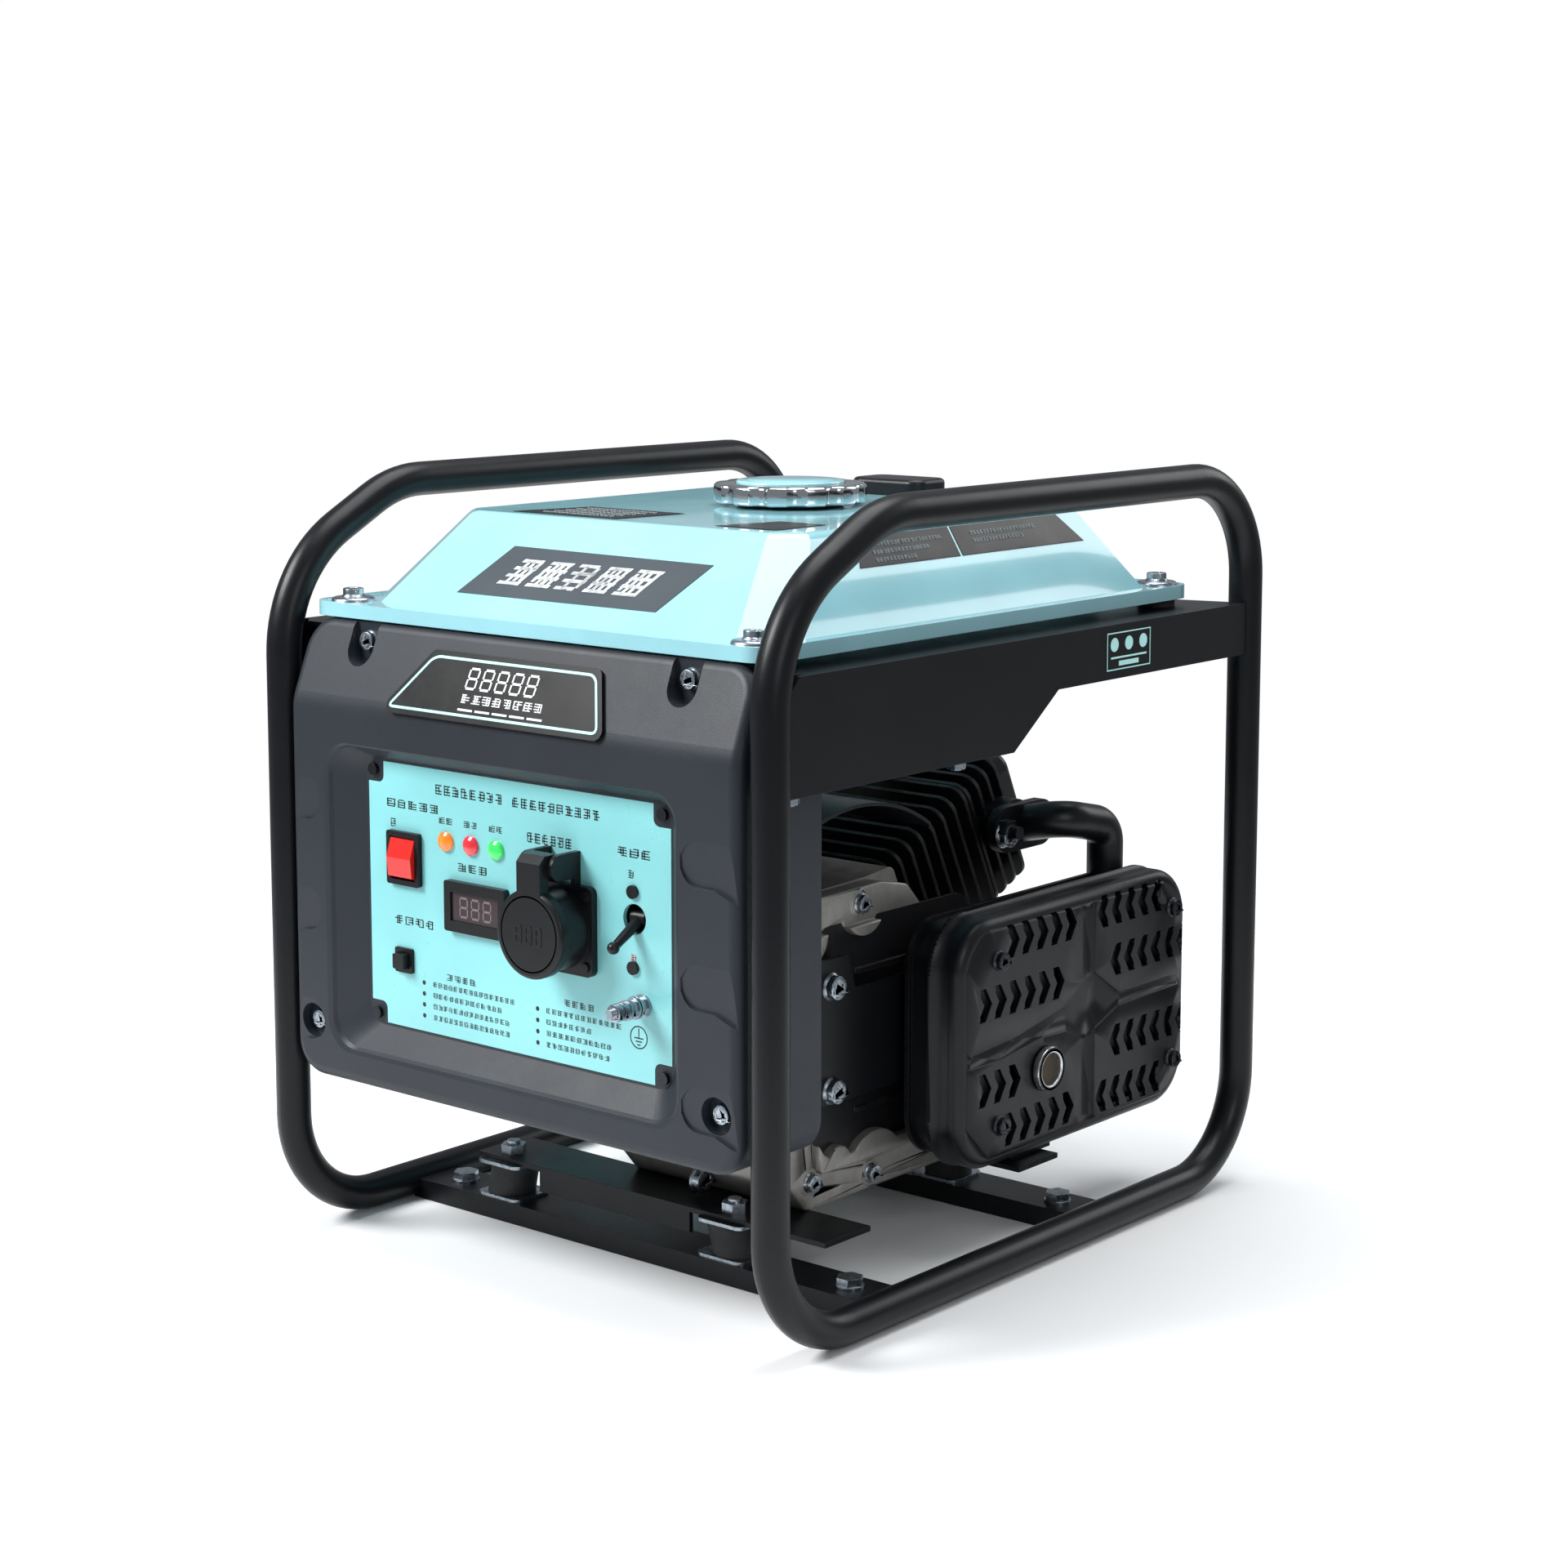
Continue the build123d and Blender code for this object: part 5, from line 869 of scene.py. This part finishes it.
def badge_frame():
    """Turn from the badge's own plane (x across, y up, z outwards) to the machine."""
    low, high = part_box("badge")
    lean = radians(21.37)  # of the badge's plate, backwards from upright
    out = Vector((0, -cos(lean), sin(lean)))
    up = Vector((0, sin(lean), cos(lean)))
    origin = (low + high) / 2 + out * 1.0 * MM
    origin.x = 0.0
    return Matrix((
        (1, 0, 0, origin.x), (0, up.y, out.y, origin.y), (0, up.z, out.z, origin.z), (0, 0, 0, 1)))


def make_badge():
    """Mint outline, and white figures and strokes, on the dark badge."""
    place = badge_frame()
    lift = sizes().decal_lift
    ring = patch([(x * MM, y * MM, 0) for x, y in ((-86, -16), (73.4, -16), (62.4, 16), (-58.5, 16))])
    with editing(ring):
        bpy.ops.mesh.select_all(action="SELECT")
        bpy.ops.mesh.bevel(offset=5 * MM, segments=5, affect="VERTICES")
        bpy.ops.mesh.select_all(action="SELECT")
        bpy.ops.mesh.inset(thickness=1.5 * MM)
        bpy.ops.mesh.delete(type="FACE")
    thicken(ring, lift)
    ring.data.transform(place @ Matrix.Translation((0, 0, lift / 2)))
    settle(ring, "badge_outline", "chassis", "badge_print", "mint_ink")
    rng = random.Random(3)
    figures = [bar for number in range(5)
               for bar in figure_bars((-26 + number * 11) * MM, 5.2 * MM, 7.6 * MM, 11 * MM)]
    slanted = place @ plane_of((1, 0, 0), (0, 1, 0), slant=0.12)
    rows = stroke_row(1 * MM, -6.0 * MM, 62 * MM, 5.0 * MM, 8, rng)
    rows += [((-25.5 + number * 13) * MM, -12.2 * MM, 11 * MM, 1.2 * MM) for number in range(5)]
    marks = thicken(joined([bars(slanted, figures), bars(place, rows)]), lift)
    marks.data.transform(Matrix.Translation(place.to_3x3() @ Vector((0, 0, lift / 2))))
    settle(marks, "badge_marks", "chassis", "badge_print", "white_ink")


# ---- Tank labels ----
def make_tank_labels():
    """Stuck-on labels on the front, right side and top of the tank."""
    lift = sizes().decal_lift
    front, side, above = -0.25, 0.3, 0.5
    rng = random.Random(11)
    plate = patch([(x * MM, front, z * MM) for x, z in ((-80, 378), (69, 378), (88, 402), (-60, 403))],
                  24, 6)
    settle(laid(plate, "tank_upper", "Y", lift), "front_label", "chassis", "tank_paint", "grey_ink")
    upright = plane_of(X_AXIS, Z_AXIS, (4 * MM, front, 390.5 * MM), 0.75)
    strokes = [bar for _ in range(3) for bar in stroke_row(0.0, 0.0, 108 * MM, 13.5 * MM, 5, rng)]
    settle(laid(bars(upright, strokes), "tank_upper", "Y", 2 * lift), "front_label_strokes",
           "chassis", "tank_paint", "white_ink")
    side_labels = [patch([(side, y * MM, z * MM) for y, z in corners], 10, 4) for corners in (
        ((-90, 399), (-1, 399), (-1, 414.5), (-80, 414.5)),
        ((1, 399), (118, 399), (103, 414.5), (1, 414.5)))]
    side_labels = laid(joined(side_labels), "tank_upper", "X", lift)
    top_labels = [patch([(x * MM, y * MM, above) for x, y in corners], 8, 6) for corners in (
        ((-88, -122), (-8, -122), (-2, -72), (-74, -72)),
        ((62, -118), (104, -118), (104, -76), (72, -76)))]
    top_labels = laid(joined(top_labels), "tank_upper", "Z", lift)
    settle(joined([side_labels, top_labels]), "tank_labels", "chassis", "tank_paint", "badge_print")
    lines = []
    for start, end, rows in ((-74, -10, (410, 406, 402)), (16, 78, (410, 406))):
        for number, z in enumerate(rows):
            stop = end - number * 14
            lines += stroke_row((start + stop) / 2 * MM, z * MM, (stop - start) * MM, 2.0 * MM,
                                (stop - start) // 3, rng)
    side_plane = plane_of(Y_AXIS, Z_AXIS, (side, 0, 0))
    side_lines = laid(bars(side_plane, lines), "tank_upper", "X", 2 * lift)
    lines = []
    for number in range(5):
        lines += stroke_row((-45 + number) * MM, (-113 + number * 8) * MM, 54 * MM, 2.2 * MM, 18, rng)
    top_plane = plane_of(X_AXIS, Y_AXIS, (0, 0, above))
    top_lines = laid(bars(top_plane, lines), "tank_upper", "Z", 2 * lift)
    settle(joined([side_lines, top_lines]), "tank_label_lines", "chassis", "tank_paint", "pale_ink")


def make_rail_label():
    """Small outlined plate with three discs and two bars on the right rail."""
    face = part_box("tank_rails")[1].x
    lift = sizes().decal_lift
    low, high, start, end = 331 * MM, 352.5 * MM, 72 * MM, 116 * MM

    def plate(x):
        return patch([(x, start, low), (x, end, low), (x, end, high), (x, start, high)])

    settle(thicken(plate(face + lift / 2), lift), "rail_label", "chassis", "frame_steel",
           "badge_print")
    rim = plate(face + lift)
    with editing(rim):
        bpy.ops.mesh.select_all(action="SELECT")
        bpy.ops.mesh.inset(thickness=0.7 * MM)
        bpy.ops.mesh.delete(type="FACE")
    marks = [thicken(rim, lift)]
    back, front = face + lift / 2, face + 1.5 * lift
    for y in (79.5, 94, 108.5):
        marks.append(new_rod(4.0 * MM, back, front, (y * MM, 345.5 * MM), "X", 24))
    for y_low, z_low, y_high, z_high in ((76, 337.5, 112, 338.6), (84, 333.2, 104, 336)):
        marks.append(new_block((back, y_low * MM, z_low * MM), (front, y_high * MM, z_high * MM)))
    settle(joined(marks), "rail_label_signs", "chassis", "frame_steel", "mint_ink")


# ---- Guard and cover ----
def copy_of(node):
    """A piece that starts as a carried-over part's own shape."""
    source = frame["nodes"][node]
    twin = bpy.data.objects.new(node + "_piece", source.data.copy())
    twin.data.transform(source.matrix_world)
    bpy.context.scene.collection.objects.link(twin)
    return twin


# first slot's y and z, number of slots and way they point, for each row of the guard
GUARD_ROWS = ((28.6, 179.5, 5, 1), (2.6, 147.0, 6, 1), (2.6, 98.0, 3, 1), (27.6, 70.5, 5, 1),
              (118.6, 181.0, 5, -1), (132.6, 150.0, 6, -1), (132.6, 101.0, 6, -1),
              (118.6, 69.5, 5, -1))


def make_guard():
    """Guard with its rows of wide arrowhead slots, each cut by two slanted arms."""
    pitch, arm_rise = 14.2, 4.75
    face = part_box("muffler_guard")[1].x - MM
    guard = copy_of("muffler_guard")
    for up in (1, -1):
        block = new_block((-0.5, -0.5, -0.5), (0.5, 0.5, 0.5))
        arms = []
        for y, z, count, turn in GUARD_ROWS:
            arm = Matrix.Diagonal((8 * MM, 6.0 * MM, 9.6 * MM, 1))
            arm[1][2] = -up * turn * 6.0 * MM
            arms += [
                Matrix.Translation((face, (y + number * pitch) * MM, (z + up * arm_rise) * MM)) @ arm
                for number in range(count)]
        carve(guard, copies(block, arms))
    settle(guard, "muffler_guard_pressing", "chassis", "black_metal", replaces=["muffler_guard"])


# y, z and radius of the round bosses that stand into the cover's recess
COVER_BOSSES = ((-90, 126, 17), (-90, 194, 20), (-81, 53, 17), (-37, 204, 18), (-27, 46, 26),
                (70, 50, 26), (-96, 88, 13), (-60, 60, 10))


def make_engine_cover():
    """Cast cover with a rim and bosses round a recess; a dark sheet with ribs on the recess's floor is
    painted shade.
    """
    low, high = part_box("crankcase_cover")
    cover = copy_of("crankcase_cover")
    floor = high.x - 9 * MM
    pocket = new_block((floor, low.y + 19 * MM, low.z + 27 * MM),
                       (high.x + 2 * MM, high.y - 15 * MM, high.z - 18 * MM))
    with editing(pocket):
        pick(lambda edge: abs((edge.verts[0].co - edge.verts[1].co).normalized().x) > 0.9, "EDGE")
        bpy.ops.mesh.bevel(offset=16 * MM, segments=6, affect="EDGES")
    for y, z, radius in COVER_BOSSES:
        carve(pocket, new_rod(radius * MM, floor - MM, high.x + 3 * MM, (y * MM, z * MM), "X", 40))
    # a copy of the pocket becomes a thin dark sheet on the recess's floor: painted shade in the recess
    sheet = pocket.copy()
    sheet.data = pocket.data.copy()
    bpy.context.scene.collection.objects.link(sheet)
    carve(cover, pocket)
    bevel_edges(cover, 0.8 * MM, 2, 0.9)
    settle(cover, "engine_cover_casting", "chassis", "cast_metal", replaces=["crankcase_cover"])
    # flattens the copy onto the recess's floor, as the painted shade sheet
    sheet.data.transform(Matrix.Translation((floor, 0, 0)) @ Matrix.Diagonal((0.12, 1, 1, 1))
                         @ Matrix.Translation((-floor, 0, 0)))
    parts = [sheet]
    # low ribs on the dark sheet, in the same dark finish as the painted shade
    for z in range(84, 165, 16):
        parts.append(new_block((floor, -40 * MM, z * MM), (floor + 3 * MM, 50 * MM, (z + 3) * MM)))
    # the dark sheet and its ribs, painted shade in the cover's recess
    settle(joined(parts), "engine_cover_painted_shade", "chassis", "cast_black")


def make_flange_nuts():
    """Two zinc nuts and stud ends on the exhaust flange."""
    low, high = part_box("exhaust_pipe")
    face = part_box("cylinder_head")[1].x
    middle_y, z = low.y + 30 * MM, high.z - 19 * MM
    parts = []
    for side in (-1, 1):
        y = middle_y + side * 22 * MM
        nut = hex_head(8.4 * MM)
        nut.data.transform(Matrix.Translation((face + 7.2 * MM, y, z)) @ towards(X_AXIS))
        parts.append(nut)
        parts.append(new_rod(2.6 * MM, face + 10 * MM, face + 16 * MM, (y, z), "X", 20))
    settle(joined(parts), "exhaust_nuts", "chassis", "zinc")


# ---- Outlet ----
def make_outlet():
    """Bright ring and spark mesh in the end of the exhaust."""
    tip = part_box("muffler_body")[1].x
    at = (60.6 * MM, 99 * MM)  # y and z of the outlet's axis
    bore = 9.4 * MM
    ring = new_rod(13.2 * MM, tip - 4.8 * MM, tip, at, "X", 64)
    carve(ring, new_rod(bore, tip - 10 * MM, tip + MM, at, "X", 64))
    bevel_edges(ring, 1.1 * MM, 3)
    settle(ring, "outlet_ring", "chassis", "exhaust_steel", "bright_ring")
    deselect()
    bpy.ops.mesh.primitive_grid_add(x_subdivisions=16, y_subdivisions=16, size=20 * MM,
                                    location=(tip - 2.4 * MM, *at), rotation=(0, pi / 2, 0))
    mesh = applied()
    modify(mesh, "WIREFRAME", thickness=0.35 * MM, use_replace=True)
    backing = new_rod(bore, tip - 3.6 * MM, tip - 3.2 * MM, at, "X", 48)
    settle(joined([mesh, backing]), "outlet_mesh", "chassis", "exhaust_steel", "mesh_wire")


# ---- Meter, lid and terminal ----
def make_meter_digits():
    """Three unlit seven-bar digits behind the window."""
    low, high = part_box("voltmeter_window")
    tall, wide = (high.z - low.z) * 0.66, (high.x - low.x) * 0.17
    middle = (low + high) / 2
    marks = [bar for step in (-1, 0, 1)
             for bar in figure_bars(middle.x + step * wide * 1.45, middle.z, wide, tall)]
    sheet = bars(plane_of(X_AXIS, Z_AXIS, (0, low.y - 0.05 * MM, 0)), marks)
    settle(thicken(sheet, 0.1 * MM), "meter_digits", "chassis", "meter_glass", "digit")


def make_lid_marks():
    """Raised rim and plain embossed bars on the socket's lid."""
    low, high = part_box("socket_flap")
    x, z, face = (low.x + high.x) / 2, low.z + (high.x - low.x) / 2, low.y
    marks = [bar for step in (-1, 0, 1)
             for bar in figure_bars(x + step * 7.3 * MM, z - 0.5 * MM, 4.4 * MM, 9 * MM)]
    sheet = thicken(bars(plane_of(X_AXIS, Z_AXIS, (0, face + 0.1 * MM, 0)), marks), 0.7 * MM)
    ring = new_rod(20.5 * MM, face, face + 0.6 * MM, (x, z), "Y", 72)
    carve(ring, new_rod(19.6 * MM, face - MM, face + 2 * MM, (x, z), "Y", 72))
    settle(joined([sheet, ring]), "lid_marks", "socket_lid", "black_plastic")


def make_ground_terminal():
    """Threaded stud with washers and nuts, which stands out towards the user."""
    low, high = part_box("ground_terminal")
    x, z = (low.x + high.x) / 2, (low.z + high.z) / 2
    turn = Matrix.Translation((x, high.y, z)) @ towards(-Y_AXIS)
    length = high.y - low.y
    parts = [threaded_bar(3.0 * MM, length - 0.3 * MM, 1.0 * MM)]
    washers = ((12.4, 1.0, 6.2), (17.6, 0.9, 6.2), (19.0, 0.9, 5.8), (24.6, 0.9, 5.6))
    for start, thick, radius in washers:
        parts.append(new_rod(radius * MM, start * MM, (start + thick) * MM, (0, 0), vertices=40))
    for start in (13.4, 20.0, 25.6, 30.4):
        nut = hex_head(5.6 * MM, flange=False)
        nut.data.transform(Matrix.Translation((0, 0, start * MM)))
        parts.append(nut)
    stack = joined(parts)
    stack.data.transform(turn)
    settle(stack, "earth_terminal", "chassis", "zinc", replaces=["ground_terminal"])


# ---- Operators ----
class GENERATOR_OT_stage(bpy.types.Operator):
    """Floor, soft lights and the camera"""

    bl_idname = "generator.stage"
    bl_label = "Studio stage"

    def execute(self, context):
        make_floor()
        make_air()
        make_lights()
        make_camera()
        return {"FINISHED"}


class GENERATOR_OT_finishes(bpy.types.Operator):
    """All finishes, and their use on the carried-over parts"""

    bl_idname = "generator.finishes"
    bl_label = "Finishes"

    def execute(self, context):
        make_finishes()
        dress_carried_parts()
        return {"FINISHED"}


class GENERATOR_OT_fasteners(bpy.types.Operator):
    """Flanged screws and bolts"""

    bl_idname = "generator.fasteners"
    bl_label = "Fasteners"

    def execute(self, context):
        make_box_screws()
        make_engine_bolts()
        make_tank_fixings()
        return {"FINISHED"}


class GENERATOR_OT_filler_cap(bpy.types.Operator):
    """Chrome rim and mint disc of the filler cap"""

    bl_idname = "generator.filler_cap"
    bl_label = "Filler cap"

    def execute(self, context):
        make_filler_cap()
        return {"FINISHED"}


class GENERATOR_OT_panel_print(bpy.types.Operator):
    """Printed marks on the control panel"""

    bl_idname = "generator.panel_print"
    bl_label = "Panel print"

    def execute(self, context):
        make_panel_print()
        return {"FINISHED"}


class GENERATOR_OT_badge_marks(bpy.types.Operator):
    """Outline and bars of the badge"""

    bl_idname = "generator.badge_marks"
    bl_label = "Badge print"

    def execute(self, context):
        make_badge()
        return {"FINISHED"}


class GENERATOR_OT_labels(bpy.types.Operator):
    """Labels on the tank and on the rail"""

    bl_idname = "generator.labels"
    bl_label = "Labels"

    def execute(self, context):
        make_tank_labels()
        make_rail_label()
        return {"FINISHED"}


class GENERATOR_OT_outlet(bpy.types.Operator):
    """Bright ring and mesh of the exhaust"""

    bl_idname = "generator.outlet"
    bl_label = "Exhaust outlet"

    def execute(self, context):
        make_outlet()
        return {"FINISHED"}


class GENERATOR_OT_panel_fittings(bpy.types.Operator):
    """Meter digits, lid marks and earth terminal"""

    bl_idname = "generator.panel_fittings"
    bl_label = "Panel fittings"

    def execute(self, context):
        make_meter_digits()
        make_lid_marks()
        make_ground_terminal()
        return {"FINISHED"}


class GENERATOR_OT_engine_side(bpy.types.Operator):
    """Guard, cast cover and flange nuts"""

    bl_idname = "generator.engine_side"
    bl_label = "Guard and cover"

    def execute(self, context):
        make_guard()
        make_engine_cover()
        make_flange_nuts()
        return {"FINISHED"}


OPERATORS = (
    GENERATOR_OT_stage,
    GENERATOR_OT_finishes,
    GENERATOR_OT_fasteners,
    GENERATOR_OT_filler_cap,
    GENERATOR_OT_panel_print,
    GENERATOR_OT_badge_marks,
    GENERATOR_OT_labels,
    GENERATOR_OT_outlet,
    GENERATOR_OT_panel_fittings,
    GENERATOR_OT_engine_side,
)


class GENERATOR_PT_pieces(bpy.types.Panel):
    """Lists the pieces in the order they are made"""

    bl_idname = "GENERATOR_PT_pieces"
    bl_label = "Portable generator"
    bl_space_type = "VIEW_3D"
    bl_region_type = "UI"
    bl_category = "Generator"

    def draw(self, context):
        for group in (context.scene.generator_colours, context.scene.generator_sizes):
            for key in group.__annotations__:
                self.layout.prop(group, key)
        for operator in OPERATORS:
            self.layout.operator(operator.bl_idname)


CLASSES = (GeneratorColours, GeneratorSizes, *OPERATORS, GENERATOR_PT_pieces)


def register():
    for item in CLASSES:
        bpy.utils.register_class(item)
    bpy.types.Scene.generator_colours = bpy.props.PointerProperty(type=GeneratorColours)
    bpy.types.Scene.generator_sizes = bpy.props.PointerProperty(type=GeneratorSizes)


def unregister():
    del bpy.types.Scene.generator_sizes
    del bpy.types.Scene.generator_colours
    for item in reversed(CLASSES):
        bpy.utils.unregister_class(item)


def main():
    register()
    for operator in OPERATORS:
        group, name = operator.bl_idname.split(".")
        getattr(getattr(bpy.ops, group), name)()


if __name__ == "__main__":
    main()
